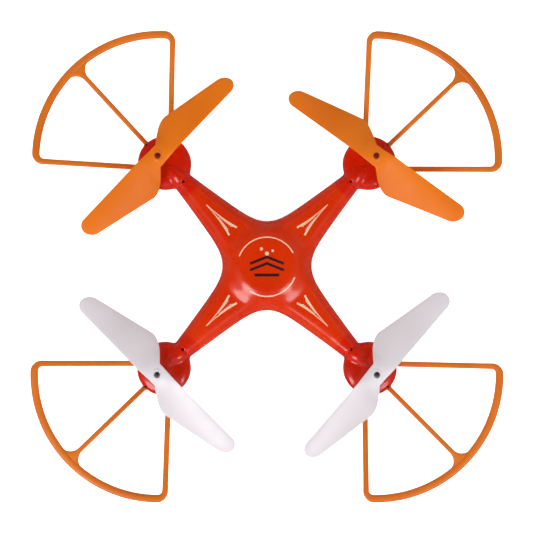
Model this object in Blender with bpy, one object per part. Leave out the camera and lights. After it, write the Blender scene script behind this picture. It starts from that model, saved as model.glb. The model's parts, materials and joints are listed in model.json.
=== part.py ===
"""A toy quadcopter with propeller guards, modelled as the separate pieces it is made of.

Sizes are in millimetres until a piece is finished: place_piece turns them into metres.
The origin is on the ground under the middle of the body, +X right, +Y forward, +Z up.
Pieces that repeat on the four arms are modelled once in an arm's own frame, with x running
out along the arm from the middle of the body, and are then turned to each corner.
"""

from math import acos, cos, exp, hypot, pi, radians, sin, sqrt, tan

import bmesh
import bpy
from mathutils import Matrix

MM = 0.001
ROOT_TWO = sqrt(2.0)

# Plan of the airframe
CORNERS = {"front_right": 45.0, "front_left": 135.0, "rear_left": 225.0, "rear_right": 315.0}
ROTOR_XY = 71.0
ROTOR_S = ROTOR_XY * ROOT_TWO
POD_S = 94.5
WAIST_RADIUS = 29.8
WAIST_S = WAIST_RADIUS / ROOT_TWO
ARM_HALF = 15.7
ARM_TAPER = 0.156
FLARE = WAIST_S - ARM_HALF
FLARE_LENGTH = FLARE / (1.0 - ARM_TAPER)
NOSE_START = 81.0
NOSE_END = 91.5

# Heights
PARTING = 28.0
GAP = 0.3
WALL = 1.3
RIM = 1.2
EDGE_RADIUS = 9.0
EDGE_POWER = 2.2
ON_OUTLINE = 0.01
ARM_CROWN = 12.4
CROWN_FALL = 0.052
DOME_RISE = 5.0
DOME_FLAT = 15.0
DOME_FOOT = 31.0
BELLY_DEPTH = 8.5
BELLY_FALL = 0.03

# Motor pods
POD_RADIUS = 17.2
POD_TOP = 37.2
POD_WALL = 1.4
BOWL_RADIUS = 15.5
BOWL_FLOOR = 21.5
LOWER_ARM_END = POD_S - BOWL_RADIUS - 0.5
NECK_HOLE_S = 78.3
NECK_HOLE_RADIUS = 0.9
SHAFT_HOLE_RADIUS = 1.6
SCREW_NOTCH_RADIUS = 1.9
TOWER_RADIUS = 3.3
TOWER_BORE = 2.3
BUSH_RADIUS = 2.0
BUSH_BOTTOM = 22.6
BUSH_LENGTH = 4.8
GUARD_LUG_RADIUS = 2.7
GUARD_LUG_BORE = 0.9
LENS_RADIUS = 5.0
LENS_BULGE = 2.6
LENS_RIM = 1.0

# Gear train
GEAR_MODULE = 0.6
GEAR_TEETH = 30
PINION_TEETH = 8
PRESSURE_ANGLE = radians(20.0)
PROFILE_SHIFT = 0.4
ADDENDUM = 0.85
DEDENDUM = 1.15
BACKLASH = 0.16
GEAR_BOTTOM = 29.6
GEAR_WIDTH = 3.0
CENTRE_DISTANCE = GEAR_MODULE * (GEAR_TEETH + PINION_TEETH) / 2.0
MOTOR_S = ROTOR_S - CENTRE_DISTANCE

# Rotor
SHAFT_RADIUS = 1.0
SHAFT_BOTTOM = 22.9
SHAFT_TOP = 47.1
BUSH_CLEARANCE = 0.04
BLADE_TIP = 69.0
BLADE_HEIGHT = 47.5
BLADE_THICK = 1.3
BOSS_BOTTOM = 39.5
BOSS_RADIUS = 3.4
BOSS_SWELL = 4.4
BOSS_TOP = 49.0
RECESS_RADIUS = 2.2
RECESS_BOTTOM = 48.1
LEADING_EDGE = 5.9
ROOT_HALF = 6.2
BULGE_START = 4.0
BULGE_AT = 21.5
BULGE_EDGE = 14.6
TIP_EDGE = 4.2
TIP_START = 63.0
ROOT_TURN_IN = 12.0
ROOT_THICKENING = 0.9
ROOT_PITCH = radians(28.0)
TIP_PITCH = radians(9.0)
BLADE_ANGLES = {"front_left": 46.6, "front_right": 144.0, "rear_left": 134.8, "rear_right": 49.2}
CLOCKWISE_CORNERS = ("front_left", "rear_right")

# The skin round a blade's section: distance back from the front edge as a share of the chord,
# and height above the section's lower line as a share of the thickness
BLADE_SKIN = ((0.0, 0.15), (0.12, 0.7), (0.4, 1.0), (0.8, 0.7), (1.0, 0.2), (0.8, -0.1), (0.4, 0.0),
              (0.12, -0.2))

# Motor, its sleeve and the foot below it
MOTOR_RADIUS = 4.25
MOTOR_BOTTOM = 4.5
MOTOR_TOP = 24.5
SPINDLE_RADIUS = 0.5
SPINDLE_DEPTH = 3.6
SPINDLE_BORE = 0.9
SPINDLE_BORE_DEPTH = 4.0
SLEEVE_OUTER = 5.75
SLEEVE_INNER = 4.6
SLEEVE_BOTTOM = 3.5
FOOT_RADIUS = 6.6
FOOT_FLAT = 5.6
FOOT_TOP = 6.5

# Propeller guards
RING_OUTER = 84.0
RING_WIDTH = 4.4
RING_BOTTOM = 37.0
RING_TOP = 40.8
LEG_INSET = 5.5
LEG_WIDTH = 3.1
LEG_HEIGHT = 2.4
SPOKE_WIDTH = 2.8
RING_CHAMFER = 1.0
GUSSET_LENGTH = 9.0
GUSSET_HALF = 6.5
COLLAR_HALF_ANGLE = radians(54.0)
EYE_RADIUS = 2.9
EYE_SLOT_HALF = (0.95, 1.7)
COLLAR_BOTTOM = 25.2
COLLAR_TOP = 27.6
COLLAR_WIDTH = 1.8
SCREW_S = 113.2
GUARD_TURNS = {"front_left": -2.2, "front_right": -1.6, "rear_left": -0.8, "rear_right": -0.5}

# Screws: the head's radius, its height and the shank's radius
PROPELLER_SCREW = (1.8, 1.3, 0.8)
GUARD_SCREW = (1.5, 1.3, 0.6)
CROSS_HALF = (1.1, 0.2)

# Battery bay, its door, the switch and what the body holds
BAY_HALF_X = 17.0
BAY_REAR = -26.5
BAY_FRONT = 27.0
BAY_BOTTOM = 9.0
DOOR_HALF_X = 14.5
DOOR_TOP = 20.0
DOORWAY_HALF_X = 13.0
DOORWAY_BOTTOM = 12.5
DOORWAY_TOP = 19.0
DOOR_THICK = 1.2
DOOR_STAND_OFF = 0.4
GRIP_RADIUS = 0.7
GRIP_HALF = 5.0
HINGE_Y = -28.4
HINGE_Z = 11.0
BARREL_RADIUS = 1.5
PIN_RADIUS = 0.6
BARREL_HALF = 7.0
LUG_WIDTH = 3.0
LUG_ROOT = 0.6
WEB_HEIGHT = 3.0
SWITCH_Y = 20.5
SWITCH_TRAVEL = 3.0
SLOT_HALF_Y = 1.8
KNOB_STEM_HALF = (1.2, 0.9)
KNOB_CAP_HALF = (1.7, 1.3)
HOUSING_HALF_Y = 2.6
HOUSING_HEIGHT = 4.3
BATTERY_SIZE = (25.0, 40.0, 6.0)
RAIL_X = 8.0
RAIL_HALF = 0.8
RAIL_TOP = 12.4
RAIL_FRONT = 15.0
BOARD_Z = 25.4
BOARD_THICK = 1.6
BOARD_HALF_X = 21.0
BOARD_REAR = -17.0
BOARD_FRONT = 19.0
POST_RADIUS = 1.8
POST_PLACES = ((-18.6, -13.0), (18.6, -13.0), (-18.6, 15.0), (18.6, 15.0))

# Colours: red, green, blue, roughness, metallic
FINISHES = {
    "body_red": (0.62, 0.035, 0.004, 0.18, 0.0),
    "guard_orange": (0.65, 0.15, 0.015, 0.4, 0.0),
    "blade_orange": (0.75, 0.17, 0.012, 0.35, 0.0),
    "blade_white": (0.78, 0.72, 0.75, 0.35, 0.0),
    "gear_white": (0.8, 0.8, 0.76, 0.45, 0.0),
    "steel": (0.5, 0.5, 0.52, 0.3, 1.0),
    "brass": (0.62, 0.45, 0.16, 0.3, 1.0),
    "rubber": (0.03, 0.03, 0.03, 0.8, 0.0),
    "lens": (0.85, 0.88, 0.9, 0.1, 0.0),
    "board_green": (0.02, 0.18, 0.06, 0.5, 0.0),
    "battery_silver": (0.55, 0.56, 0.6, 0.35, 0.4),
    "switch_black": (0.02, 0.02, 0.02, 0.45, 0.0),
}


# ---------------------------------------------------------------- mesh tools

def clear_scene():
    for old in list(bpy.data.objects):
        bpy.data.objects.remove(old, do_unlink=True)


def solid(bm):
    """Turns a closed bmesh into an object whose faces point out."""
    bmesh.ops.remove_doubles(bm, verts=bm.verts, dist=1e-4)
    bmesh.ops.recalc_face_normals(bm, faces=bm.faces)
    mesh = bpy.data.meshes.new("solid")
    bm.to_mesh(mesh)
    bm.free()
    body = bpy.data.objects.new("solid", mesh)
    bpy.context.scene.collection.objects.link(body)
    return body


def turned(profile, steps, at=0.0):
    """A turned solid about the vertical line x = at. The profile lists (radius, z), either from
    axis to axis or, where no point is on the axis, round a closed loop."""
    bm = bmesh.new()
    rings = []
    for radius, z in profile:
        if radius == 0.0:
            rings.append([(at, 0.0, z)] * steps)
            continue
        angles = [2.0 * pi * (i + 0.5) / steps for i in range(steps)]
        rings.append([(at + radius * cos(a), radius * sin(a), z) for a in angles])
    if all(radius > 0.0 for radius, z in profile):
        rings.append(rings[0])
    for lower, upper in zip(rings, rings[1:]):
        is_cap = lower[0][2] == upper[0][2] and min(len(set(lower)), len(set(upper))) == 1
        if is_cap:
            rim = max(lower, upper, key=lambda ring: len(set(ring)))
            bm.faces.new([bm.verts.new(point) for point in rim])
            continue
        for i in range(steps):
            j = (i + 1) % steps
            corners = list(dict.fromkeys([lower[i], lower[j], upper[j], upper[i]]))
            bm.faces.new([bm.verts.new(point) for point in corners])
    return solid(bm)


def disc(radius, bottom, top, steps, at=0.0):
    return turned([(0.0, bottom), (radius, bottom), (radius, top), (0.0, top)], steps, at)


def prism(outline, bottom, top, at=0.0):
    """An upright solid on a flat outline of (x, y) points."""
    bm = bmesh.new()
    low = [bm.verts.new((at + x, y, bottom)) for x, y in outline]
    high = [bm.verts.new((at + x, y, top)) for x, y in outline]
    bm.faces.new(low)
    bm.faces.new(high)
    for i in range(len(outline)):
        j = (i + 1) % len(outline)
        bm.faces.new((low[i], low[j], high[j], high[i]))
    return solid(bm)


def block(x_range, y_range, z_range):
    x0, x1 = x_range
    y0, y1 = y_range
    return prism([(x0, y0), (x1, y0), (x1, y1), (x0, y1)], *z_range)


def rounded_block(half_x, y_range, z_range, radius, steps=3):
    """A block with rounded upright edges."""
    y0, y1 = y_range
    centres = [(half_x - radius, y1 - radius), (radius - half_x, y1 - radius),
               (radius - half_x, y0 + radius), (half_x - radius, y0 + radius)]
    outline = []
    for quarter, (cx, cy) in enumerate(centres):
        for i in range(steps + 1):
            angle = (quarter + i / steps) * pi / 2.0
            outline.append((cx + radius * cos(angle), cy + radius * sin(angle)))
    return prism(outline, *z_range)


def bar(start, end, width, height):
    """A straight bar with upright sides between two points, its ends cut square in plan."""
    length = hypot(end[0] - start[0], end[1] - start[1])
    side_x = -(end[1] - start[1]) / length * width / 2.0
    side_y = (end[0] - start[0]) / length * width / 2.0
    bm = bmesh.new()
    frames = []
    for x, y, z in (start, end):
        frames.append([bm.verts.new((x - side_x, y - side_y, z - height / 2.0)),
                       bm.verts.new((x + side_x, y + side_y, z - height / 2.0)),
                       bm.verts.new((x + side_x, y + side_y, z + height / 2.0)),
                       bm.verts.new((x - side_x, y - side_y, z + height / 2.0))])
    for i in range(4):
        j = (i + 1) % 4
        bm.faces.new((frames[0][i], frames[0][j], frames[1][j], frames[1][i]))
    bm.faces.new(frames[0])
    bm.faces.new(frames[1])
    return solid(bm)


def arc_bar(profile, at, half_angle, steps):
    """A section of (radius, z) points swept about the line x = at, from -half_angle to it."""
    bm = bmesh.new()
    sections = []
    for i in range(steps + 1):
        angle = half_angle * (2.0 * i / steps - 1.0)
        sections.append([bm.verts.new((at + r * cos(angle), r * sin(angle), z)) for r, z in profile])
    for near, far in zip(sections, sections[1:]):
        for i in range(len(profile)):
            j = (i + 1) % len(profile)
            bm.faces.new((near[i], near[j], far[j], far[i]))
    bm.faces.new(sections[0])
    bm.faces.new(sections[-1])
    return solid(bm)


def cross_bar(radius, half_x, y, z, steps):
    """A round bar along X."""
    body = disc(radius, -half_x, half_x, steps)
    body.data.transform(Matrix.Translation((0.0, y, z)) @ Matrix.Rotation(pi / 2.0, 4, "Y"))
    return body


def combine(target, operation, tools):
    """Adds tools to a solid, or cuts them from it, and uses them up."""
    for tool in tools:
        modifier = target.modifiers.new("combine", "BOOLEAN")
        modifier.operation = operation
        modifier.solver = "EXACT"
        modifier.object = tool
        graph = bpy.context.evaluated_depsgraph_get()
        mesh = bpy.data.meshes.new_from_object(target.evaluated_get(graph))
        target.modifiers.clear()
        target.data = mesh
        bpy.data.objects.remove(tool, do_unlink=True)
    return target


def joined(target, *tools):
    return combine(target, "UNION", tools)


def cut(target, *tools):
    return combine(target, "DIFFERENCE", tools)


def copy_at(body, degrees):
    """A copy of a solid, turned about the vertical line through the middle of the body."""
    mesh = body.data.copy()
    mesh.transform(Matrix.Rotation(radians(degrees), 4, "Z"))
    twin = bpy.data.objects.new("solid", mesh)
    bpy.context.scene.collection.objects.link(twin)
    return twin


def at_corners(body):
    """Four copies of a solid, one on each arm. The first solid is used up."""
    copies = [copy_at(body, degrees) for degrees in CORNERS.values()]
    bpy.data.objects.remove(body, do_unlink=True)
    return copies


# ---------------------------------------------------------------- finished pieces

def material(name):
    found = bpy.data.materials.get(name)
    if found:
        return found
    red, green, blue, roughness, metallic = FINISHES[name]
    made = bpy.data.materials.new(name)
    made.use_nodes = True
    shader = made.node_tree.nodes["Principled BSDF"]
    shader.inputs["Base Color"].default_value = (red, green, blue, 1.0)
    shader.inputs["Roughness"].default_value = roughness
    shader.inputs["Metallic"].default_value = metallic
    return made


def finish_mesh(body, finish, origin):
    """Moves a solid's mesh so that origin is its zero, in metres, and gives it its material."""
    mesh = body.data
    mesh.transform(Matrix.Scale(MM, 4) @ Matrix.Translation([-value for value in origin]))
    mesh.materials.clear()
    mesh.materials.append(material(finish))
    mesh.shade_smooth()
    mesh.set_sharp_from_angle(angle=radians(35.0))
    return mesh


def place_piece(name, body, finish, origin=(0.0, 0.0, 0.0)):
    """Finishes a piece modelled where it belongs."""
    body.data = finish_mesh(body, finish, origin)
    body.location = [value * MM for value in origin]
    body.name = name


def place_on_arms(name, body, finish, origin=(0.0, 0.0, 0.0), corners=tuple(CORNERS), turns=None):
    """Places a piece modelled in the arm's frame at the corners given. Its copies share a mesh,
    and turns gives what a corner's copy is turned about its own origin."""
    mesh = finish_mesh(body, finish, origin)
    bpy.data.objects.remove(body, do_unlink=True)
    for corner in corners:
        piece = bpy.data.objects.new(name + "_" + corner, mesh)
        bpy.context.scene.collection.objects.link(piece)
        arm = Matrix.Rotation(radians(CORNERS[corner]), 4, "Z")
        piece.location = arm @ Matrix.Translation([value * MM for value in origin]).to_translation()
        extra = turns[corner] if turns else 0.0
        piece.rotation_euler = (0.0, 0.0, radians(CORNERS[corner] + extra))


# ---------------------------------------------------------------- body shells

def arm_half_width(s):
    """Half the body's width across an arm. Inside the waist it follows the line that meets the
    next arm's outline squarely, and past NOSE_START it closes in a rounded nose."""
    if s < WAIST_S:
        return 2.0 * WAIST_S - s
    past = s - WAIST_S
    width = ARM_HALF - ARM_TAPER * past + FLARE * exp(-past / FLARE_LENGTH)
    if s <= NOSE_START:
        return width
    closing = min((s - NOSE_START) / (NOSE_END - NOSE_START), 1.0)
    return width * sqrt(1.0 - closing ** 2)


def outline_run(s):
    """Length of outline per length of arm."""
    step = 0.05
    slope = (arm_half_width(s + step) - arm_half_width(s - step)) / (2.0 * step)
    return sqrt(1.0 + slope ** 2)


def edge_rise(x, y, inset):
    """0 on the outline moved in by inset, rounding up to 1 well inside it."""
    rise = 1.0
    for px, py in ((x, y), (y, -x), (-x, -y), (-y, x)):
        s = (px + abs(py)) / ROOT_TWO
        side = (px - abs(py)) / ROOT_TWO
        half = arm_half_width(s)
        radius = max(min(EDGE_RADIUS, half - inset), 0.1)
        distance = (half - side) / outline_run(s) - inset
        closeness = 1.0 - min(max((distance - ON_OUTLINE) / radius, 0.0), 1.0)
        rise *= (1.0 - closeness ** EDGE_POWER) ** (1.0 / EDGE_POWER)
    return rise


def crown(radius):
    """Height of the upper shell's ridge above the parting plane, a dome running into the arms."""
    fall = min(max((radius - DOME_FLAT) / (DOME_FOOT - DOME_FLAT), 0.0), 1.0)
    dome = DOME_RISE * (0.5 + 0.5 * cos(pi * fall))
    return ARM_CROWN - CROWN_FALL * max(radius - WAIST_S, 0.0) + dome


def belly(radius):
    """Depth of the lower shell's keel line below the parting plane."""
    return BELLY_DEPTH - BELLY_FALL * radius


def star(base, direction, ridge, inset, rows, columns):
    """A closed solid on the star outline: a flat face at base, and a crowned face towards
    direction whose height above base is ridge(radius) where the outline is far away."""
    bm = bmesh.new()
    for degrees in CORNERS.values():
        turn = Matrix.Rotation(radians(degrees), 4, "Z")
        grid = []
        for s in rows:
            half = min(s, arm_half_width(s) - inset * outline_run(s)) if s > 0.0 else 0.0
            line = []
            for column in range(-columns, columns + 1):
                t = half * sin(column / columns * pi / 2.0)
                x, y, z = turn @ Matrix.Translation((s, t, 0.0)).to_translation()
                shell = RIM + (ridge(hypot(s, t)) - RIM) * edge_rise(x, y, inset) - inset
                line.append(bm.verts.new((x, y, base + direction * shell)))
            grid.append(line)
        for near, far in zip(grid, grid[1:]):
            for i in range(2 * columns):
                bm.faces.new((near[i], near[i + 1], far[i + 1], far[i]))
    bmesh.ops.remove_doubles(bm, verts=bm.verts, dist=1e-3)
    rim_edges = [edge for edge in bm.edges if edge.is_boundary]
    wall = bmesh.ops.extrude_edge_only(bm, edges=rim_edges)["geom"]
    for item in wall:
        if isinstance(item, bmesh.types.BMVert):
            item.co.z = base - direction * inset
    bmesh.ops.triangulate(bm, faces=bm.faces)
    base_edges = [edge for edge in bm.edges if edge.is_boundary]
    bmesh.ops.contextual_create(bm, geom=base_edges)
    return solid(bm)


def arm_rows(stops):
    """Stations along an arm: the middle, the dome, the waist and then the stops given."""
    return [0.0, DOME_FLAT / 2.0, DOME_FLAT, WAIST_S] + stops


def upper_shell():
    rows = arm_rows([24.0, 28.0, 35.0, 46.0, 60.0, 77.0, 84.0, 88.5, 91.2])
    shell = star(PARTING, 1.0, crown, 0.0, rows, 3)
    pod = [(0.0, PARTING), (POD_RADIUS, PARTING), (POD_RADIUS, POD_TOP - 3.8),
           (POD_RADIUS - 0.9, POD_TOP - 1.5), (POD_RADIUS - 4.0, POD_TOP - 0.4), (0.0, POD_TOP)]
    shell = joined(shell, *at_corners(turned(pod, 20, POD_S)))
    rows = arm_rows([26.0, 36.0, 60.0, 84.0])
    hollow = star(PARTING, 1.0, crown, WALL, rows, 2)
    inner = POD_RADIUS - POD_WALL
    room = [(0.0, PARTING - WALL), (inner, PARTING - WALL), (inner, POD_TOP - 4.0),
            (inner - 1.6, POD_TOP - 2.2), (0.0, POD_TOP - POD_WALL)]
    shell = cut(shell, hollow, *at_corners(turned(room, 20, POD_S)))
    shell = cut(shell, *at_corners(disc(SHAFT_HOLE_RADIUS, PARTING, POD_TOP + 2.0, 12, ROTOR_S)))
    shell = cut(shell, *at_corners(disc(SCREW_NOTCH_RADIUS, PARTING - 1.0, POD_TOP, 12, SCREW_S)))
    neck_hole = disc(NECK_HOLE_RADIUS, PARTING + 5.0, POD_TOP + 4.0, 8, NECK_HOLE_S)
    shell = cut(shell, *at_corners(neck_hole))
    place_piece("upper_shell", shell, "body_red")


def hinge_lug(near, far):
    """A lug on the body's rear face from x = near to far, rounded about the hinge line."""
    reach = BAY_REAR + LUG_ROOT - HINGE_Y
    steps = 8
    outline = [(-BARREL_RADIUS, reach), (BARREL_RADIUS, reach)]
    for i in range(steps + 1):
        angle = pi * i / steps
        outline.append((BARREL_RADIUS * cos(angle), -BARREL_RADIUS * sin(angle)))
    lug = prism(outline, near, far)
    lay = Matrix.Translation((0.0, HINGE_Y, HINGE_Z)) @ Matrix.Rotation(pi / 2.0, 4, "Y")
    lug.data.transform(lay)
    return lug


def lower_shell():
    top = PARTING - GAP
    rows = arm_rows([24.0, 28.0, 34.0, 45.0, 60.0, LOWER_ARM_END])
    shell = star(top, -1.0, belly, 0.0, rows, 3)
    bay = rounded_block(BAY_HALF_X, (BAY_REAR, BAY_FRONT), (BAY_BOTTOM, top - 4.0), 3.0)
    shell = joined(shell, bay)
    rows = arm_rows([26.0, 36.0, 60.0, LOWER_ARM_END + 1.0])
    hollow = star(top, -1.0, belly, WALL, rows, 2)
    room = rounded_block(BAY_HALF_X - WALL, (BAY_REAR + WALL, BAY_FRONT - WALL),
                         (BAY_BOTTOM + WALL, top + 1.0), 1.7)
    shell = cut(shell, joined(hollow, room))
    doorway = block((-DOORWAY_HALF_X, DOORWAY_HALF_X), (BAY_REAR - 1.0, BAY_REAR + 3.0),
                    (DOORWAY_BOTTOM, DOORWAY_TOP))
    slot_x = SWITCH_TRAVEL / 2.0 + KNOB_CAP_HALF[0] + 0.6
    slot = block((-slot_x, slot_x), (SWITCH_Y - SLOT_HALF_Y, SWITCH_Y + SLOT_HALF_Y),
                 (BAY_BOTTOM - 1.0, BAY_BOTTOM + 3.0))
    shell = cut(shell, doorway, slot)
    near = BARREL_HALF + GAP
    far = near + LUG_WIDTH
    shell = joined(shell, hinge_lug(near, far), hinge_lug(-far, -near))
    for x in (-RAIL_X, RAIL_X):
        rail = block((x - RAIL_HALF, x + RAIL_HALF), (BAY_REAR + 1.0, RAIL_FRONT),
                     (BAY_BOTTOM + 1.0, RAIL_TOP))
        shell = joined(shell, rail)
    for x, y in POST_PLACES:
        post = disc(POST_RADIUS, top - 8.0, BOARD_Z - GAP, 10)
        post.data.transform(Matrix.Translation((x, y, 0.0)))
        shell = joined(shell, post)
    pin_reach = BARREL_HALF + LUG_WIDTH + 2.0
    shell = cut(shell, cross_bar(PIN_RADIUS + GAP, pin_reach, HINGE_Y, HINGE_Z, 10))
    place_piece("lower_shell", shell, "body_red")


def battery_door():
    outside = HINGE_Y + DOOR_STAND_OFF
    inside = outside + DOOR_THICK
    plate = block((-DOOR_HALF_X, DOOR_HALF_X), (outside, inside),
                  (HINGE_Z + BARREL_RADIUS + GAP, DOOR_TOP))
    web = block((GAP - BARREL_HALF, BARREL_HALF - GAP), (HINGE_Y, inside),
                (HINGE_Z, HINGE_Z + WEB_HEIGHT))
    barrel = cross_bar(BARREL_RADIUS, BARREL_HALF, HINGE_Y, HINGE_Z, 14)
    grip = cross_bar(GRIP_RADIUS, GRIP_HALF, outside, DOOR_TOP - 1.6, 8)
    door = joined(plate, web, barrel, grip)
    door = cut(door, cross_bar(PIN_RADIUS + 0.08, BARREL_HALF + 2.0, HINGE_Y, HINGE_Z, 12))
    place_piece("battery_door", door, "body_red", (0.0, HINGE_Y, HINGE_Z))
    pin = cross_bar(PIN_RADIUS, BARREL_HALF + LUG_WIDTH, HINGE_Y, HINGE_Z, 12)
    place_piece("battery_door_pin", pin, "steel")


def power_switch():
    """A slide switch inside the bay's floor, whose knob comes out through a slot."""
    floor = BAY_BOTTOM + WALL
    stem_x, stem_y = KNOB_STEM_HALF
    cap_x, cap_y = KNOB_CAP_HALF
    reach = SWITCH_TRAVEL / 2.0 + stem_x + 0.4
    half = reach + 1.8
    housing = block((-half, half), (SWITCH_Y - HOUSING_HALF_Y, SWITCH_Y + HOUSING_HALF_Y),
                    (floor + GAP, floor + GAP + HOUSING_HEIGHT))
    slot = block((-reach, reach), (SWITCH_Y - stem_y - 0.4, SWITCH_Y + stem_y + 0.4),
                 (floor - 1.0, floor + 3.0))
    place_piece("power_switch_housing", cut(housing, slot), "switch_black")
    off_x = -SWITCH_TRAVEL / 2.0
    stem = block((off_x - stem_x, off_x + stem_x), (SWITCH_Y - stem_y, SWITCH_Y + stem_y),
                 (BAY_BOTTOM - 0.6, floor + 2.6))
    cap = block((off_x - cap_x, off_x + cap_x), (SWITCH_Y - cap_y, SWITCH_Y + cap_y),
                (BAY_BOTTOM - 0.8, BAY_BOTTOM + 0.6))
    place_piece("power_switch_knob", joined(stem, cap), "switch_black", (off_x, SWITCH_Y, floor))


def inside_pieces():
    width, length, height = BATTERY_SIZE
    rear = BAY_REAR + WALL + 0.7
    bottom = RAIL_TOP + GAP
    pack = rounded_block(width / 2.0, (rear, rear + length), (bottom, bottom + height), 1.5)
    place_piece("battery_pack", pack, "battery_silver")
    board = rounded_block(BOARD_HALF_X, (BOARD_REAR, BOARD_FRONT), (BOARD_Z, BOARD_Z + BOARD_THICK),
                          4.0)
    inside_board = BOARD_Z + BOARD_THICK / 2.0
    chip = block((-6.0, 6.0), (-5.0, 5.0), (inside_board, inside_board + 1.8))
    socket = block((-13.0, -6.0), (11.0, 16.0), (inside_board, inside_board + 5.2))
    place_piece("circuit_board", joined(board, chip, socket), "board_green")


# ---------------------------------------------------------------- motor pods

def gearbox_base():
    """The bowl that closes a pod from below. Its sleeve holds the motor and is also the leg."""
    top = PARTING - GAP
    bowl = [(0.0, BOWL_FLOOR), (BOWL_RADIUS - 4.3, BOWL_FLOOR), (BOWL_RADIUS - 1.3, BOWL_FLOOR + 1.2),
            (BOWL_RADIUS, BOWL_FLOOR + 3.2), (BOWL_RADIUS, top), (0.0, top)]
    base = turned(bowl, 20, POD_S)
    inner = BOWL_RADIUS - WALL
    room = [(0.0, BOWL_FLOOR + WALL), (inner - 3.0, BOWL_FLOOR + WALL), (inner, BOWL_FLOOR + 4.0),
            (inner, top + 1.0), (0.0, top + 1.0)]
    base = cut(base, turned(room, 20, POD_S))
    sleeve = disc(SLEEVE_OUTER, SLEEVE_BOTTOM, top, 14, MOTOR_S)
    tower = disc(TOWER_RADIUS, BOWL_FLOOR + 0.5, BOWL_FLOOR + 5.5, 10, ROTOR_S)
    lug = disc(GUARD_LUG_RADIUS, BOWL_FLOOR + 1.0, COLLAR_BOTTOM - GAP, 8, SCREW_S)
    ledge = block((POD_S + BOWL_RADIUS - 0.8, SCREW_S), (-2.4, 2.4),
                  (BOWL_FLOOR + 1.6, COLLAR_BOTTOM - 2.0 * GAP))
    base = joined(base, sleeve, tower, lug, ledge)
    base = cut(base, disc(SLEEVE_INNER, SLEEVE_BOTTOM - 1.0, top + 1.0, 14, MOTOR_S),
               disc(TOWER_BORE, BOWL_FLOOR + 0.8, top, 10, ROTOR_S),
               disc(GUARD_LUG_BORE, BOWL_FLOOR + 1.8, top, 8, SCREW_S))
    place_on_arms("gearbox_base", base, "body_red")


def motor():
    bore_end = MOTOR_TOP - SPINDLE_BORE_DEPTH
    can = [(0.0, MOTOR_BOTTOM), (MOTOR_RADIUS, MOTOR_BOTTOM), (MOTOR_RADIUS, MOTOR_TOP),
           (SPINDLE_BORE, MOTOR_TOP), (SPINDLE_BORE, bore_end), (0.0, bore_end)]
    place_on_arms("motor", turned(can, 12, MOTOR_S), "steel")


def foot_cap():
    cup = SLEEVE_OUTER + GAP
    cap = [(0.0, 0.0), (FOOT_FLAT, 0.0), (FOOT_RADIUS, 1.0), (FOOT_RADIUS, FOOT_TOP),
           (cup, FOOT_TOP), (cup, SLEEVE_BOTTOM - GAP), (0.0, SLEEVE_BOTTOM - GAP)]
    place_on_arms("foot_cap", turned(cap, 14, MOTOR_S), "rubber")


def led_lens():
    top = BOWL_FLOOR - GAP
    steps = 4
    dome = []
    for i in range(steps + 1):
        angle = pi / 2.0 * i / steps
        dome.append((LENS_RADIUS * sin(angle), top - LENS_RIM - LENS_BULGE * cos(angle)))
    lens = turned(dome + [(LENS_RADIUS, top), (0.0, top)], 10, ROTOR_S)
    place_on_arms("led_lens", lens, "lens")


def shaft_bush():
    """A brass bush pressed in the bowl's tower, in which the rotor shaft runs."""
    steps = 12
    bore = (SHAFT_RADIUS + BUSH_CLEARANCE) / cos(pi / steps)
    top = BUSH_BOTTOM + BUSH_LENGTH
    bush = [(BUSH_RADIUS, BUSH_BOTTOM), (BUSH_RADIUS, top), (bore, top), (bore, BUSH_BOTTOM)]
    place_on_arms("shaft_bush", turned(bush, steps, ROTOR_S), "brass")


# ---------------------------------------------------------------- gears

def involute(angle):
    return tan(angle) - angle


def gear_outline(teeth, shift, first_tooth):
    """Outline of a gear with straight-sided teeth through an involute's root and tip widths."""
    pitch = GEAR_MODULE * teeth / 2.0
    base = pitch * cos(PRESSURE_ANGLE)
    tip = pitch + GEAR_MODULE * (ADDENDUM + shift)
    root = pitch - GEAR_MODULE * (DEDENDUM - shift)
    outline = []
    for tooth in range(teeth):
        middle = first_tooth + 2.0 * pi * tooth / teeth
        for radius, side in ((root, -1.0), (tip, -1.0), (tip, 1.0), (root, 1.0)):
            rolled = acos(min(base / radius, 1.0))
            half = (pi / 2.0 + 2.0 * shift * tan(PRESSURE_ANGLE)) / teeth
            half += involute(PRESSURE_ANGLE) - involute(rolled) - BACKLASH / 2.0 / pitch
            angle = middle + side * half
            outline.append((radius * cos(angle), radius * sin(angle)))
    return outline


def main_gear():
    """A tooth gap faces the pinion."""
    outline = gear_outline(GEAR_TEETH, -PROFILE_SHIFT, pi / GEAR_TEETH)
    gear = prism(outline, GEAR_BOTTOM, GEAR_BOTTOM + GEAR_WIDTH, ROTOR_S)
    gear = cut(gear, disc(SHAFT_RADIUS + GAP, GEAR_BOTTOM - 1.0, PARTING + 8.0, 12, ROTOR_S))
    place_on_arms("main_gear", gear, "gear_white", (ROTOR_S, 0.0, GEAR_BOTTOM))


def motor_pinion():
    """A tooth faces the main gear, and the motor's shaft is one piece with the pinion."""
    outline = gear_outline(PINION_TEETH, PROFILE_SHIFT, 0.0)
    pinion = prism(outline, GEAR_BOTTOM - 0.6, GEAR_BOTTOM + GEAR_WIDTH + 0.4, MOTOR_S)
    spindle = disc(SPINDLE_RADIUS, MOTOR_TOP - SPINDLE_DEPTH, GEAR_BOTTOM + 1.0, 8, MOTOR_S)
    place_on_arms("motor_pinion", joined(pinion, spindle), "brass", (MOTOR_S, 0.0, GEAR_BOTTOM))


# ---------------------------------------------------------------- rotors

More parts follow.
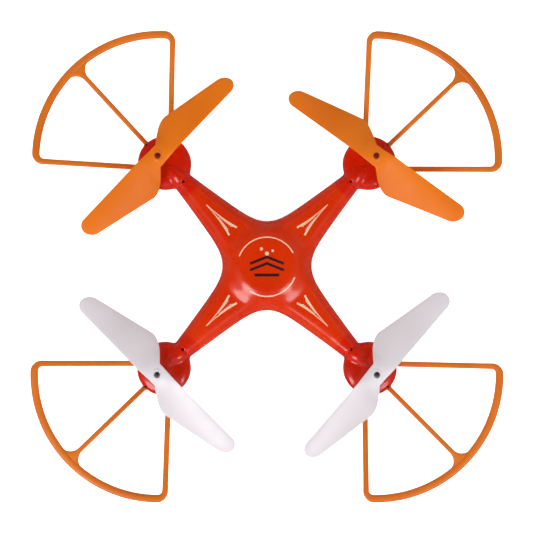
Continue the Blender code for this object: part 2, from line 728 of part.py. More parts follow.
def trailing_edge(u):
    """Distance of the bulged rear edge from the blade's axis line, u out from the hub."""
    if u < BULGE_AT:
        along = max(u - BULGE_START, 0.0) / (BULGE_AT - BULGE_START)
        return ROOT_HALF + (BULGE_EDGE - ROOT_HALF) * sin(along * pi / 2.0)
    along = (u - BULGE_AT) / (TIP_START - BULGE_AT)
    return BULGE_EDGE + (TIP_EDGE - BULGE_EDGE) * along


def blade_section(u):
    """The front and rear edges, the pitch and the thickness at u along the whole propeller."""
    reach = abs(u)
    front = LEADING_EDGE + (ROOT_HALF - LEADING_EDGE) * max(1.0 - reach / 10.0, 0.0)
    rear = trailing_edge(reach)
    thick = BLADE_THICK
    if reach > TIP_START:
        closing = (reach - TIP_START) / (BLADE_TIP - TIP_START)
        middle = (rear - front) / 2.0
        half = (rear + front) / 2.0 * sqrt(max(1.0 - closing ** 2, 0.01))
        front = half - middle
        rear = half + middle
        thick = BLADE_THICK * (1.0 - 0.4 * closing)
    turn_in = min(reach / ROOT_TURN_IN, 1.0)
    pitch = turn_in * (ROOT_PITCH + (TIP_PITCH - ROOT_PITCH) * reach / BLADE_TIP)
    return front, rear, pitch, thick + ROOT_THICKENING * (1.0 - turn_in)


def propeller_solid(clockwise):
    """A two-bladed propeller. Turning clockwise from above, each blade leads with its straight
    edge, which is the higher one."""
    hand = 1.0 if clockwise else -1.0
    reaches = [0.0, 5.0, 9.0, 14.0, 21.5, 30.0, 45.0, TIP_START, 66.5, BLADE_TIP]
    stations = sorted({-u for u in reaches} | set(reaches))
    bm = bmesh.new()
    sections = []
    for u in stations:
        front, rear, pitch, thick = blade_section(u)
        outward = 1.0 if u >= 0.0 else -1.0
        section = []
        for across, lift in BLADE_SKIN:
            v = -front + (front + rear) * across
            z = BLADE_HEIGHT - v * tan(pitch) + thick * lift - thick / 2.0
            section.append((u, outward * hand * v, z))
        if outward < 0.0:
            section = section[4::-1] + section[:4:-1]
        sections.append([bm.verts.new(point) for point in section])
    for near, far in zip(sections, sections[1:]):
        for i in range(len(BLADE_SKIN)):
            j = (i + 1) % len(BLADE_SKIN)
            bm.faces.new((near[i], near[j], far[j], far[i]))
    bm.faces.new(sections[0])
    bm.faces.new(sections[-1])
    blades = solid(bm)
    boss = [(0.0, BOSS_BOTTOM), (BOSS_RADIUS, BOSS_BOTTOM), (BOSS_SWELL, BLADE_HEIGHT - 1.0),
            (BOSS_RADIUS, BOSS_TOP), (0.0, BOSS_TOP)]
    blades = joined(blades, turned(boss, 10))
    bore = disc(SHAFT_RADIUS + GAP, BOSS_BOTTOM - 1.0, BOSS_TOP + 1.0, 8)
    recess = disc(RECESS_RADIUS, RECESS_BOTTOM, BOSS_TOP + 1.0, 10)
    return cut(blades, bore, recess)


def propellers():
    for corner, degrees in CORNERS.items():
        body = propeller_solid(corner in CLOCKWISE_CORNERS)
        body.data.transform(Matrix.Rotation(radians(BLADE_ANGLES[corner]), 4, "Z"))
        finish = "blade_orange" if corner.startswith("front") else "blade_white"
        body.data = finish_mesh(body, finish, (0.0, 0.0, BLADE_HEIGHT))
        arm = radians(degrees)
        body.location = (ROTOR_S * MM * cos(arm), ROTOR_S * MM * sin(arm), BLADE_HEIGHT * MM)
        body.name = "propeller_" + corner


def rotor_shaft():
    shaft = disc(SHAFT_RADIUS, SHAFT_BOTTOM, SHAFT_TOP, 12, ROTOR_S)
    place_on_arms("rotor_shaft", shaft, "steel", (ROTOR_S, 0.0, SHAFT_BOTTOM))


def pan_screw(bottom, seat, size, at):
    """An upright screw whose head sits on seat, its shank reaching down to bottom."""
    head, height, shank = size
    profile = [(0.0, bottom), (shank, bottom), (shank, seat), (head, seat),
               (head, seat + 0.54 * height), (0.6 * head, seat + 0.92 * height), (0.0, seat + height)]
    return turned(profile, 8, at)


def propeller_screw():
    seat = RECESS_BOTTOM + GAP
    body = pan_screw(SHAFT_TOP + GAP, seat, PROPELLER_SCREW, ROTOR_S)
    half_x, half_y = CROSS_HALF
    cross = block((ROTOR_S - half_x, ROTOR_S + half_x), (-half_y, half_y), (seat + 0.7, seat + 2.0))
    body = cut(body, cross)
    place_on_arms("propeller_screw", body, "steel", (ROTOR_S, 0.0, seat))


# ---------------------------------------------------------------- guards

def prop_guard():
    """A quarter ring round the propeller on two legs and a spoke. The collar hooks round the
    bowl under the pod's rim, and a slotted eye takes the screw."""
    inner = RING_OUTER - RING_WIDTH
    ring_line = RING_OUTER - RING_WIDTH / 2.0
    ring_z = (RING_BOTTOM + RING_TOP) / 2.0
    ring_span = pi / 4.0 + LEG_INSET / ring_line
    low = RING_BOTTOM + RING_CHAMFER
    high = RING_TOP - RING_CHAMFER
    near = inner + RING_CHAMFER
    far = RING_OUTER - RING_CHAMFER
    ring_profile = [(inner, low), (near, RING_BOTTOM), (far, RING_BOTTOM), (RING_OUTER, low),
                    (RING_OUTER, high), (far, RING_TOP), (near, RING_TOP), (inner, high)]
    guard = arc_bar(ring_profile, ROTOR_S, ring_span, 18)
    collar_inner = BOWL_RADIUS + GAP
    collar_profile = [(collar_inner, COLLAR_BOTTOM), (collar_inner + COLLAR_WIDTH, COLLAR_BOTTOM),
                      (collar_inner + COLLAR_WIDTH, COLLAR_TOP), (collar_inner, COLLAR_TOP)]
    collar_z = (COLLAR_BOTTOM + COLLAR_TOP) / 2.0
    guard = joined(guard, arc_bar(collar_profile, POD_S, COLLAR_HALF_ANGLE, 8))
    for side in (-1.0, 1.0):
        leg_line = (ROTOR_XY - LEG_INSET) * ROOT_TWO
        near = (POD_RADIUS + 0.6) / ROOT_TWO
        far = (ring_line * cos(LEG_INSET / ring_line) + LEG_INSET) / ROOT_TWO
        start = (leg_line + near, side * near, collar_z)
        end = (leg_line + far, side * far, ring_z)
        knuckle = disc(RING_WIDTH / 2.0, RING_BOTTOM + 0.4, RING_TOP - 0.4, 8)
        knuckle.data.transform(Matrix.Translation((end[0], end[1], 0.0)))
        guard = joined(guard, bar(start, end, LEG_WIDTH, LEG_HEIGHT), knuckle)
    ring_s = ROTOR_S + ring_line
    eye = disc(EYE_RADIUS, COLLAR_BOTTOM, COLLAR_TOP, 10, SCREW_S)
    spoke = bar((SCREW_S + 1.5, 0.0, collar_z), (ring_s, 0.0, ring_z), SPOKE_WIDTH, LEG_HEIGHT)
    foot = 0.6
    outline = [(-GUSSET_LENGTH, -1.2), (-GUSSET_LENGTH, 1.2), (foot, GUSSET_HALF), (foot, -GUSSET_HALF)]
    gusset = prism(outline, RING_BOTTOM + 0.7, RING_TOP - 0.9, ring_s - RING_WIDTH / 2.0)
    guard = joined(guard, eye, spoke, gusset)
    half_x, half_y = EYE_SLOT_HALF
    guard = cut(guard, block((SCREW_S - half_x, SCREW_S + half_x), (-half_y, half_y),
                             (COLLAR_BOTTOM - 1.0, COLLAR_TOP + 1.0)))
    place_on_arms("prop_guard", guard, "guard_orange", (POD_S, 0.0, COLLAR_BOTTOM),
                  turns=GUARD_TURNS)


def guard_screw():
    screw = pan_screw(BOWL_FLOOR + 2.1, COLLAR_TOP + GAP, GUARD_SCREW, SCREW_S)
    place_on_arms("guard_screw", screw, "steel")


def build():
    clear_scene()
    upper_shell()
    lower_shell()
    battery_door()
    power_switch()
    inside_pieces()
    gearbox_base()
    motor()
    foot_cap()
    led_lens()
    shaft_bush()
    main_gear()
    motor_pinion()
    propellers()
    rotor_shaft()
    propeller_screw()
    prop_guard()
    guard_screw()


build()
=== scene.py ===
"""The looks of the toy quadcopter: fine shells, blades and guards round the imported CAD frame.

Pieces on the arms are made once in an arm's own frame, in millimetres, with x (called s) running
out along the arm from the middle of the body, and are then turned to each corner.
"""

import json
from math import atan2, cos, degrees, hypot, pi, radians, sin, sqrt

import bmesh
import bpy
import numpy as np
from mathutils import Matrix, Vector


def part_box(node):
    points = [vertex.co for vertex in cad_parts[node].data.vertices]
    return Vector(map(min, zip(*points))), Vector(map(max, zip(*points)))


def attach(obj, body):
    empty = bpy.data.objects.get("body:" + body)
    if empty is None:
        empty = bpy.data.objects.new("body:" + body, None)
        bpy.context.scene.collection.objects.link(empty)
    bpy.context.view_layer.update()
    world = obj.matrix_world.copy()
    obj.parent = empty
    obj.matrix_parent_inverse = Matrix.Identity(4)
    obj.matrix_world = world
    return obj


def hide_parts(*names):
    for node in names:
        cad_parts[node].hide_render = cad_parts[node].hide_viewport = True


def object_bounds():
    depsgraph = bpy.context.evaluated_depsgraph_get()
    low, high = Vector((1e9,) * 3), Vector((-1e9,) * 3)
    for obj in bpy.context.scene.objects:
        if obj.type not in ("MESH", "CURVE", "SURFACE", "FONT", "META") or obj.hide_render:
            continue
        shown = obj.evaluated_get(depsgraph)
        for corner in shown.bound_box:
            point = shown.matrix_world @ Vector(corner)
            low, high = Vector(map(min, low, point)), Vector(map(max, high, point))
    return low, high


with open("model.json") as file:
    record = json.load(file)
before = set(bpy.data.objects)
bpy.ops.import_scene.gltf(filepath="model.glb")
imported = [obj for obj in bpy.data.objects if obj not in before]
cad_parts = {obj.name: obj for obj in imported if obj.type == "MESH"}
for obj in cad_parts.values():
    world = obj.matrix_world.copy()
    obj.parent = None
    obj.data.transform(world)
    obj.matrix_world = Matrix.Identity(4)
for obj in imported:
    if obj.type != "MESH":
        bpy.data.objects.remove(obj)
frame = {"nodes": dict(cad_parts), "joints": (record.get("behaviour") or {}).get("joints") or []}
cad_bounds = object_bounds()

MM = 0.001
ROOT_TWO = sqrt(2.0)
CORNERS = ("front_right", "front_left", "rear_left", "rear_right")
CLOCKWISE_CORNERS = ("front_left", "rear_right")


# ---------------------------------------------------------------- places, read from the frame

def box_mm(node):
    low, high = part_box(node)
    return low / MM, high / MM


def joint_place(name):
    joint = next(joint for joint in frame["joints"] if joint["name"] == name)
    return Vector(joint["pos_m"]) / MM


def middle(node):
    low, high = box_mm(node)
    return (low + high) / 2.0


ROTOR = joint_place("rotor_spin_front_right")
ROTOR_S = hypot(ROTOR.x, ROTOR.y)
MOTOR_S = hypot(*middle("foot_cap_front_right").xy)
SCREW_S = hypot(*middle("guard_screw_front_right").xy) + 0.9
PARTING = box_mm("upper_shell")[0].z
LOWER_TOP = box_mm("lower_shell")[1].z
BAY_BOTTOM = box_mm("lower_shell")[0].z
FOOT_LOW, FOOT_HIGH = box_mm("foot_cap_front_right")
SLEEVE_BOTTOM = box_mm("gearbox_base_front_right")[0].z
BOWL_TOP = box_mm("gearbox_base_front_right")[1].z
LENS_LOW, LENS_HIGH = box_mm("led_lens_front_right")
GUARD_LOW, GUARD_HIGH = box_mm("prop_guard_front_right")
SHAFT_LOW, SHAFT_HIGH = box_mm("rotor_shaft_front_right")
BLADE_Z = ROTOR.z
DOOR_LOW, DOOR_HIGH = box_mm("battery_door")
HINGE = joint_place("battery_door_hinge")
KNOB_LOW, KNOB_HIGH = box_mm("power_switch_knob")
CORNER_TURN = {corner: degrees(atan2(*reversed(joint_place("rotor_spin_" + corner).xy)))
               for corner in CORNERS}

# Shape values in millimetres, most of them the design's own
GAP = 0.3
WALL = 1.3
POD_S = ROTOR_S - 3.6
POD_RADIUS = 17.5
POD_TOP = 9.2
POD_WALL_TOP = 4.6
POD_FLAT = 5.0
POD_CURVE = 2.6
POD_FOOT = 1.4
BOWL_RADIUS = 15.5
BOWL_FLOOR = LENS_HIGH.z + GAP
WAIST_RADIUS = 29.8
WAIST_S = WAIST_RADIUS / ROOT_TWO
ARM_HALF = 15.7
ARM_TAPER = 0.156
FLARE = WAIST_S - ARM_HALF
FLARE_LENGTH = FLARE / (1.0 - ARM_TAPER)
NOSE_START = 79.5
NOSE_END = 93.0
NECK_S = 78.0
NECK_FILLET = 2.6
NECK_SCREW_S = 78.3
CREASE_DEPTH = 0.4
CREASE_WIDTH = 0.5
KNUCKLE_S = 85.0
KNUCKLE_RISE = 1.5
KNUCKLE_SPREAD = 5.0
LOWER_ARM_END = POD_S - BOWL_RADIUS - 0.5
RIM = 1.2
EDGE_RADIUS = 9.0
EDGE_CURVE = 2.2
ON_OUTLINE = 0.01
ARM_CROWN = 12.4
CROWN_FALL = 0.052
DOME_RISE = 5.0
DOME_FLAT = 15.0
DOME_FOOT = 31.0
BELLY_DEPTH = 8.5
BELLY_FALL = 0.03
BAY_HALF_X = 17.0
BAY_REAR = -26.5
BAY_FRONT = 27.0
SWITCH_TRAVEL = 3.0
DOORWAY_HALF_X = 13.0
DOORWAY_BOTTOM = 12.5
DOORWAY_TOP = 19.0
RAIL_X = 8.0
RAIL_TOP = 12.4
VENTS_X = (-9.0, -6.0, -3.0, 0.0, 3.0, 6.0, 9.0)
COVER_SCREW_S = 66.0
SLEEVE_OUTER = 5.75
SLEEVE_INNER = 4.6
LUG_RADIUS = 2.7
FOOT_RADIUS = 6.6
FOOT_FLAT = 5.6
LENS_RADIUS = 5.0
SHAFT_RADIUS = 1.0
BARREL_HALF = 7.0
BARREL_RADIUS = 1.5
BLADE_TIP = 69.0
BLADE_FRONT = 6.1
BLADE_ROOT = 6.2
BLADE_BULGE = 16.1
BULGE_START = 4.0
BULGE_AT = 21.5
TIP_START = 63.0
TIP_REAR = 6.5
BLADE_ANGLES = {"front_left": 46.6, "front_right": 144.0, "rear_left": 134.8, "rear_right": 49.2}
GUARD_TURNS = {"front_left": -2.2, "front_right": -1.6, "rear_left": -0.8, "rear_right": -0.5}


# ---------------------------------------------------------------- mesh tools

def mesh_from(name, points, faces, sharp=35.0):
    """A smooth-shaded mesh from points in millimetres."""
    mesh = bpy.data.meshes.new(name)
    mesh.from_pydata([[value * MM for value in point] for point in points], [], faces)
    mesh.update()
    mesh.shade_smooth()
    mesh.set_sharp_from_angle(angle=radians(sharp))
    return mesh


def taken_from(bm):
    """The points and faces of a bmesh, which is then freed."""
    bm.verts.index_update()
    result = ([vert.co[:] for vert in bm.verts],
              [[vert.index for vert in face.verts] for face in bm.faces])
    bm.free()
    return result


def oriented(points, faces):
    """Points and faces with doubles merged and the faces turned to point out."""
    bm = bmesh.new()
    corners = [bm.verts.new(point) for point in points]
    for face in faces:
        unique = list(dict.fromkeys(face))
        if len(unique) > 2:
            bm.faces.new([corners[i] for i in unique])
    bmesh.ops.remove_doubles(bm, verts=bm.verts, dist=1e-4)
    bmesh.ops.recalc_face_normals(bm, faces=bm.faces)
    return taken_from(bm)


def gathered(*solids):
    """Several (points, faces) solids as one."""
    points = []
    faces = []
    for some_points, some_faces in solids:
        start = len(points)
        points.extend(some_points)
        faces.extend([[start + i for i in face] for face in some_faces])
    return points, faces


def moved(solid, matrix):
    points, faces = solid
    return [tuple(matrix @ Vector(point)) for point in points], faces


def turned(profile, steps, at=(0.0, 0.0)):
    """A solid turned about an upright axis. The profile lists (radius, z), from axis to axis or
    round a closed loop."""
    points = []
    faces = []
    rings = []
    for radius, z in profile:
        if radius < 1e-9:
            rings.append([len(points)] * steps)
            points.append((at[0], at[1], z))
            continue
        rings.append(list(range(len(points), len(points) + steps)))
        for i in range(steps):
            angle = 2.0 * pi * (i + 0.5) / steps
            points.append((at[0] + radius * cos(angle), at[1] + radius * sin(angle), z))
    if min(radius for radius, z in profile) > 1e-9:
        rings.append(rings[0])
    for lower, upper in zip(rings, rings[1:]):
        for i in range(steps):
            j = (i + 1) % steps
            faces.append([lower[i], lower[j], upper[j], upper[i]])
    return oriented(points, faces)


def rounded(profile, radius, steps=4):
    """The profile with its inner corners rounded, where the runs beside them are long enough."""
    result = [profile[0]]
    for before, corner, after in zip(profile, profile[1:], profile[2:]):
        here = Vector(corner)
        back = Vector(before) - here
        on = Vector(after) - here
        reach = min(radius, back.length * 0.45, on.length * 0.45)
        start = here + back.normalized() * reach
        end = here + on.normalized() * reach
        for i in range(steps + 1):
            f = i / steps
            result.append(tuple(start * (1 - f) ** 2 + here * 2 * f * (1 - f) + end * f ** 2))
    result.append(profile[-1])
    return result


def lofted(sections):
    """A closed skin through sections with the same number of points each."""
    count = len(sections[0])
    points = [point for section in sections for point in section]
    faces = []
    for k in range(len(sections) - 1):
        for i in range(count):
            j = (i + 1) % count
            faces.append([k * count + i, k * count + j, (k + 1) * count + j, (k + 1) * count + i])
    faces.append(list(range(count)))
    faces.append(list(range((len(sections) - 1) * count, len(sections) * count)))
    return oriented(points, faces)


def swept(path, widths, heights, steps=20, power=3.2):
    """A rounded-rectangle bar along a path of (x, y, z), its sides upright."""
    sections = []
    for k, (x, y, z) in enumerate(path):
        x0, y0 = path[max(k - 1, 0)][:2]
        x1, y1 = path[min(k + 1, len(path) - 1)][:2]
        length = hypot(x1 - x0, y1 - y0)
        side = (-(y1 - y0) / length, (x1 - x0) / length)
        section = []
        for i in range(steps):
            angle = 2.0 * pi * (i + 0.5) / steps
            c, s = cos(angle), sin(angle)
            stretch = (abs(c) ** power + abs(s) ** power) ** (-1.0 / power)
            across = widths[k] / 2.0 * c * stretch
            up = heights[k] / 2.0 * s * stretch
            section.append((x + side[0] * across, y + side[1] * across, z + up))
        sections.append(section)
    return lofted(sections)


def rounded_box(low, high, radius, segments=3):
    """A block with all its edges rounded."""
    bm = bmesh.new()
    bmesh.ops.create_cube(bm, size=1.0)
    size = Vector(high) - Vector(low)
    centre = (Vector(high) + Vector(low)) / 2.0
    for vert in bm.verts:
        vert.co = centre + Vector([vert.co[i] * size[i] for i in range(3)])
    bmesh.ops.bevel(bm, geom=list(bm.edges), offset=radius, segments=segments, profile=0.5,
                    affect="EDGES")
    return oriented(*taken_from(bm))


def boolean(points_faces, operation, tools):
    """Adds (points, faces) tools to a closed solid or cuts them from it, all in millimetres."""
    def as_object(solid):
        mesh = bpy.data.meshes.new("solid")
        mesh.from_pydata(solid[0], [], solid[1])
        made = bpy.data.objects.new("solid", mesh)
        bpy.context.scene.collection.objects.link(made)
        return made

    target = as_object(points_faces)
    for tool in tools:
        cutter = as_object(tool)
        modifier = target.modifiers.new("boolean", "BOOLEAN")
        modifier.operation = operation
        modifier.object = cutter
        graph = bpy.context.evaluated_depsgraph_get()
        mesh = bpy.data.meshes.new_from_object(target.evaluated_get(graph))
        target.modifiers.clear()
        target.data = mesh
        bpy.data.objects.remove(cutter)
    mesh = target.data
    result = ([v.co[:] for v in mesh.vertices], [list(p.vertices) for p in mesh.polygons])
    bpy.data.objects.remove(target)
    return result


def piece(name, mesh, body, material, stands_for=(), turn=0.0, at=(0.0, 0.0, 0.0)):
    """Places a mesh as a piece of the object that rides on a body."""
    made = bpy.data.objects.new(name, mesh)
    bpy.context.scene.collection.objects.link(made)
    made.location = [value * MM for value in at]
    made.rotation_euler = (0.0, 0.0, radians(turn))
    if not mesh.materials:
        mesh.materials.append(material)
    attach(made, body)
    if stands_for:
        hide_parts(*stands_for)
    return made


def on_arms(name, solid, body, material, node=None, sharp=35.0):
    """The same piece on each arm, standing for a CAD node that repeats the same way."""
    mesh = mesh_from(name, *solid, sharp=sharp)
    for corner in CORNERS:
        own = (body + "_" + corner) if body in ("rotor", "pinion") else body
        stands_for = (node + "_" + corner,) if node else ()
        piece(name + "_" + corner, mesh, own, material, stands_for, CORNER_TURN[corner])


# ---------------------------------------------------------------- materials

def new_material(name):
    made = bpy.data.materials.new(name)
    made.use_nodes = True
    return made, made.node_tree, made.node_tree.nodes["Principled BSDF"]


def linked_noise(tree, scale, detail, distortion=0.0, stretch=None):
    """A noise texture in the piece's own coordinates, in cycles per metre."""
    place = tree.nodes.new("ShaderNodeTexCoord")
    noise = tree.nodes.new("ShaderNodeTexNoise")
    noise.inputs["Scale"].default_value = scale
    noise.inputs["Detail"].default_value = detail
    noise.inputs["Distortion"].default_value = distortion
    source = place.outputs["Object"]
    if stretch:
        mapping = tree.nodes.new("ShaderNodeMapping")
        mapping.inputs["Scale"].default_value = stretch
        tree.links.new(source, mapping.inputs["Vector"])
        source = mapping.outputs["Vector"]
    tree.links.new(source, noise.inputs["Vector"])
    return noise.outputs["Fac"]


def mapped(tree, value, low, high):
    """The middle of a noise value's range spread from low to high."""
    spread = tree.nodes.new("ShaderNodeMapRange")
    spread.interpolation_type = "SMOOTHSTEP"
    spread.inputs["From Min"].default_value = 0.2
    spread.inputs["From Max"].default_value = 0.8
    spread.inputs["To Min"].default_value = low
    spread.inputs["To Max"].default_value = high
    tree.links.new(value, spread.inputs["Value"])
    return spread.outputs["Result"]


def blended(tree, factor, first, second):
    mix = tree.nodes.new("ShaderNodeMix")
    mix.data_type = "RGBA"
    mix.inputs["A"].default_value = (*first, 1.0)
    mix.inputs["B"].default_value = (*second, 1.0)
    tree.links.new(factor, mix.inputs["Factor"])
    return mix.outputs["Result"]


def bumped(tree, shader, value, strength, distance):
    bump = tree.nodes.new("ShaderNodeBump")
    bump.inputs["Strength"].default_value = strength
    bump.inputs["Distance"].default_value = distance
    tree.links.new(value, bump.inputs["Height"])
    tree.links.new(bump.outputs["Normal"], shader.inputs["Normal"])


def moulded(name, dark, light, roughness, coat=0.0, grain=900.0, grain_depth=0.00002,
            grain_strength=0.15, shine=0.5):
    """Moulded plastic: a slow drift of colour, uneven gloss and a fine skin."""
    made, tree, shader = new_material(name)
    drift = linked_noise(tree, 22.0, 1.0, 0.3)
    factor = mapped(tree, drift, 0.0, 1.0)
    tree.links.new(blended(tree, factor, dark, light), shader.inputs["Base Color"])
    handled = linked_noise(tree, 140.0, 2.0)
    tree.links.new(mapped(tree, handled, roughness * 0.85, roughness * 1.2),
                   shader.inputs["Roughness"])
    shader.inputs["Specular IOR Level"].default_value = shine
    shader.inputs["Coat Weight"].default_value = coat
    shader.inputs["Coat Roughness"].default_value = 0.13
    bumped(tree, shader, linked_noise(tree, grain, 2.0), grain_strength, grain_depth)
    return made


def paint_pod_shade(made, colour, span):
    """Mixes a material towards a darker colour beyond a distance from the middle of the body, as
    painted shade on the pods.
    """
    tree = made.node_tree
    shader = tree.nodes["Principled BSDF"]
    source = shader.inputs["Base Color"].links[0].from_socket
    place = tree.nodes.new("ShaderNodeTexCoord")
    length = tree.nodes.new("ShaderNodeVectorMath")
    length.operation = "LENGTH"
    tree.links.new(place.outputs["Object"], length.inputs[0])
    spread = tree.nodes.new("ShaderNodeMapRange")
    spread.inputs["From Min"].default_value, spread.inputs["From Max"].default_value = span
    spread.inputs["To Max"].default_value = 0.75
    tree.links.new(length.outputs["Value"], spread.inputs["Value"])
    mix = tree.nodes.new("ShaderNodeMix")
    mix.data_type = "RGBA"
    tree.links.new(source, mix.inputs["A"])
    mix.inputs["B"].default_value = (*colour, 1.0)
    tree.links.new(spread.outputs["Result"], mix.inputs["Factor"])
    tree.links.new(mix.outputs["Result"], shader.inputs["Base Color"])


def metal(name, dark, light, roughness, brush=(1.0, 1.0, 14.0), metallic=1.0):
    """Drawn or turned metal with fine tool lines."""
    made, tree, shader = new_material(name)
    lines = linked_noise(tree, 260.0, 4.0, 0.0, brush)
    factor = mapped(tree, lines, 0.0, 1.0)
    tree.links.new(blended(tree, factor, dark, light), shader.inputs["Base Color"])
    tree.links.new(mapped(tree, lines, roughness * 0.7, roughness * 1.3),
                   shader.inputs["Roughness"])
    shader.inputs["Metallic"].default_value = metallic
    bumped(tree, shader, lines, 0.2, 0.00002)
    return made


BODY_RED = moulded("body_red_gloss", (0.60, 0.022, 0.0004), (0.66, 0.033, 0.0008), 0.28, coat=0.55,
                   grain=1500.0, grain_depth=0.000002, grain_strength=0.03, shine=0.25)
# Painted shade: past 77.5 mm from the middle the pods are mixed towards a darker red
paint_pod_shade(BODY_RED, (0.54, 0.006, 0.0003), (0.0775, 0.0800))
GUARD_ORANGE = moulded("guard_orange_satin", (0.58, 0.125, 0.008), (0.68, 0.165, 0.014), 0.36,
                       grain=1900.0, shine=0.35)
BLADE_ORANGE = moulded("blade_orange_satin", (0.72, 0.150, 0.004), (0.80, 0.190, 0.008), 0.42,
                       grain=2300.0, grain_depth=0.00001, shine=0.25)
BLADE_WHITE = moulded("blade_white_satin", (0.68, 0.63, 0.66), (0.75, 0.70, 0.73), 0.36,
                      grain=2300.0, grain_depth=0.00001)
PRINT_CREAM = moulded("print_cream", (0.86, 0.50, 0.33), (0.92, 0.60, 0.42), 0.3)
PRINT_DARK = moulded("print_dark", (0.018, 0.008, 0.010), (0.032, 0.014, 0.016), 0.3)
RUBBER = moulded("rubber_black", (0.018, 0.018, 0.019), (0.032, 0.031, 0.030), 0.72, grain=1400.0,
                 grain_depth=0.00006, grain_strength=0.4)
NYLON = moulded("gear_nylon", (0.74, 0.73, 0.68), (0.84, 0.83, 0.79), 0.45)
SWITCH_BLACK = moulded("switch_black", (0.012, 0.012, 0.013), (0.024, 0.024, 0.025), 0.42)
BATTERY_WRAP = moulded("battery_wrap", (0.44, 0.46, 0.50), (0.58, 0.60, 0.64), 0.3, coat=0.3)
BOARD_GREEN = moulded("board_green", (0.010, 0.12, 0.035), (0.020, 0.19, 0.060), 0.4, coat=0.3)
STEEL = metal("steel_bright", (0.48, 0.48, 0.50), (0.66, 0.66, 0.68), 0.28)
SCREW_DARK = metal("screw_dark", (0.14, 0.010, 0.005), (0.24, 0.022, 0.010), 0.45, (1.0, 1.0, 1.0),
                   metallic=0.3)
SCREW_GREY = metal("screw_grey", (0.16, 0.15, 0.16), (0.27, 0.26, 0.28), 0.36, (1.0, 1.0, 1.0))
BRASS = metal("brass_turned", (0.52, 0.36, 0.12), (0.70, 0.52, 0.22), 0.3)


def frosted_lens():
    made, tree, shader = new_material("lens_frosted")
    cloud = mapped(tree, linked_noise(tree, 300.0, 3.0), 0.0, 1.0)
    colour = blended(tree, cloud, (0.46, 0.50, 0.53), (0.62, 0.66, 0.69))
    tree.links.new(colour, shader.inputs["Base Color"])
    tree.links.new(mapped(tree, linked_noise(tree, 900.0, 2.0), 0.10, 0.24),
                   shader.inputs["Roughness"])
    shader.inputs["Coat Weight"].default_value = 0.6
    return made


LENS = frosted_lens()


# ---------------------------------------------------------------- the body's surfaces

def arm_half_width(s, nose=True):
    """Half the body's width across an arm, as in the design."""
    s = np.asarray(s, float)
    past = s - WAIST_S
    width = ARM_HALF - ARM_TAPER * past + FLARE * np.exp(-np.maximum(past, 0.0) / FLARE_LENGTH)
    width = np.where(s < WAIST_S, 2.0 * WAIST_S - s, width)
    if nose:
        closing = np.clip((s - NOSE_START) / (NOSE_END - NOSE_START), 0.0, 1.0)
        width = width * np.sqrt(1.0 - closing ** 2)
    return width


def soft_max(first, second, reach):
    return (first + second + np.sqrt((first - second) ** 2 + reach ** 2)) / 2.0


def edge_rise(x, y, inset=0.0):
    """0 on the body's outline, rounding up to 1 well inside it."""
    rise = np.ones_like(x)
    step = 0.02
    for px, py in ((x, y), (y, -x), (-x, -y), (-y, x)):
        s = (px + abs(py)) / ROOT_TWO
        side = (px - abs(py)) / ROOT_TWO
        half = arm_half_width(s)
        slope = (arm_half_width(s + step) - arm_half_width(s - step)) / (2.0 * step)
        radius = np.maximum(np.minimum(EDGE_RADIUS, half - inset), 0.1)
        distance = (half - side) / np.sqrt(1.0 + slope ** 2) - inset
        closeness = 1.0 - np.clip((distance - ON_OUTLINE) / radius, 0.0, 1.0)
        rise = np.minimum(rise, (1.0 - closeness ** EDGE_CURVE) ** (1.0 / EDGE_CURVE))
    return rise


def crown(radius):
    """Height of the upper cover's ridge above the parting plane."""
    fall = np.clip((radius - DOME_FLAT) / (DOME_FOOT - DOME_FLAT), 0.0, 1.0)
    dome = DOME_RISE * (0.5 + 0.5 * np.cos(pi * fall))
    knuckle = KNUCKLE_RISE * np.exp(-((radius - KNUCKLE_S) / KNUCKLE_SPREAD) ** 2)
    return ARM_CROWN - CROWN_FALL * np.maximum(radius - WAIST_S, 0.0) + dome + knuckle


def pod_height(x, y):
    """Height of a pod's bell above the parting plane, falling away just outside its wall."""
    turned_x, turned_y = abs(x), abs(y)
    radius = np.hypot(turned_x - POD_S / ROOT_TWO, turned_y - POD_S / ROOT_TWO)
    across = np.clip((radius - POD_FLAT) / (POD_RADIUS - POD_FLAT), 0.0, 1.0)
    swell = (1.0 - across ** POD_CURVE) ** (1.0 / POD_CURVE)
    bell = POD_WALL_TOP + (POD_TOP - POD_WALL_TOP) * swell
    outside = np.clip((radius - POD_RADIUS) / POD_FOOT, 0.0, 1.0)
    return bell * (1.0 - outside ** 2 * (3.0 - 2.0 * outside))


def upper_height(x, y):
    """Height of the upper cover at (x, y), in millimetres from the ground."""
    arm = RIM + (crown(np.hypot(x, y)) - RIM) * edge_rise(x, y)
    blend = 0.4 + 2.2 * np.clip((np.hypot(x, y) - 72.0) / 8.0, 0.0, 1.0)
    pod = pod_height(x, y)
    blend = blend * np.clip(np.minimum(arm, pod) / 4.0, 0.05, 1.0)
    along = (abs(x) + abs(y)) / ROOT_TWO
    crease = CREASE_DEPTH * np.exp(-((along - NECK_S) / CREASE_WIDTH) ** 2)
    crease = crease * np.clip(arm / 4.0, 0.0, 1.0)
    return PARTING + soft_max(arm, pod, blend) - crease


def lower_height(x, y):
    """Height of the lower cover's underside at (x, y)."""
    belly = BELLY_DEPTH - BELLY_FALL * np.hypot(x, y)
    return LOWER_TOP - RIM - (belly - RIM) * edge_rise(x, y)


def upper_half_width(s):
    """The upper cover's outline, an arm that runs into its pod with a small fillet."""
    inside = POD_RADIUS ** 2 - (s - POD_S) ** 2
    pod = np.sign(inside) * np.sqrt(abs(inside))
    arm = arm_half_width(s, nose=False)
    fillet = NECK_FILLET * np.clip((POD_S - s) / 8.0, 0.0, 1.0)
    joined = soft_max(np.where(s < POD_S, arm, 0.0), pod, fillet)
    width = np.where(s < NECK_S - 6.0, arm, joined)
    return np.where(s < WAIST_S, s, width)


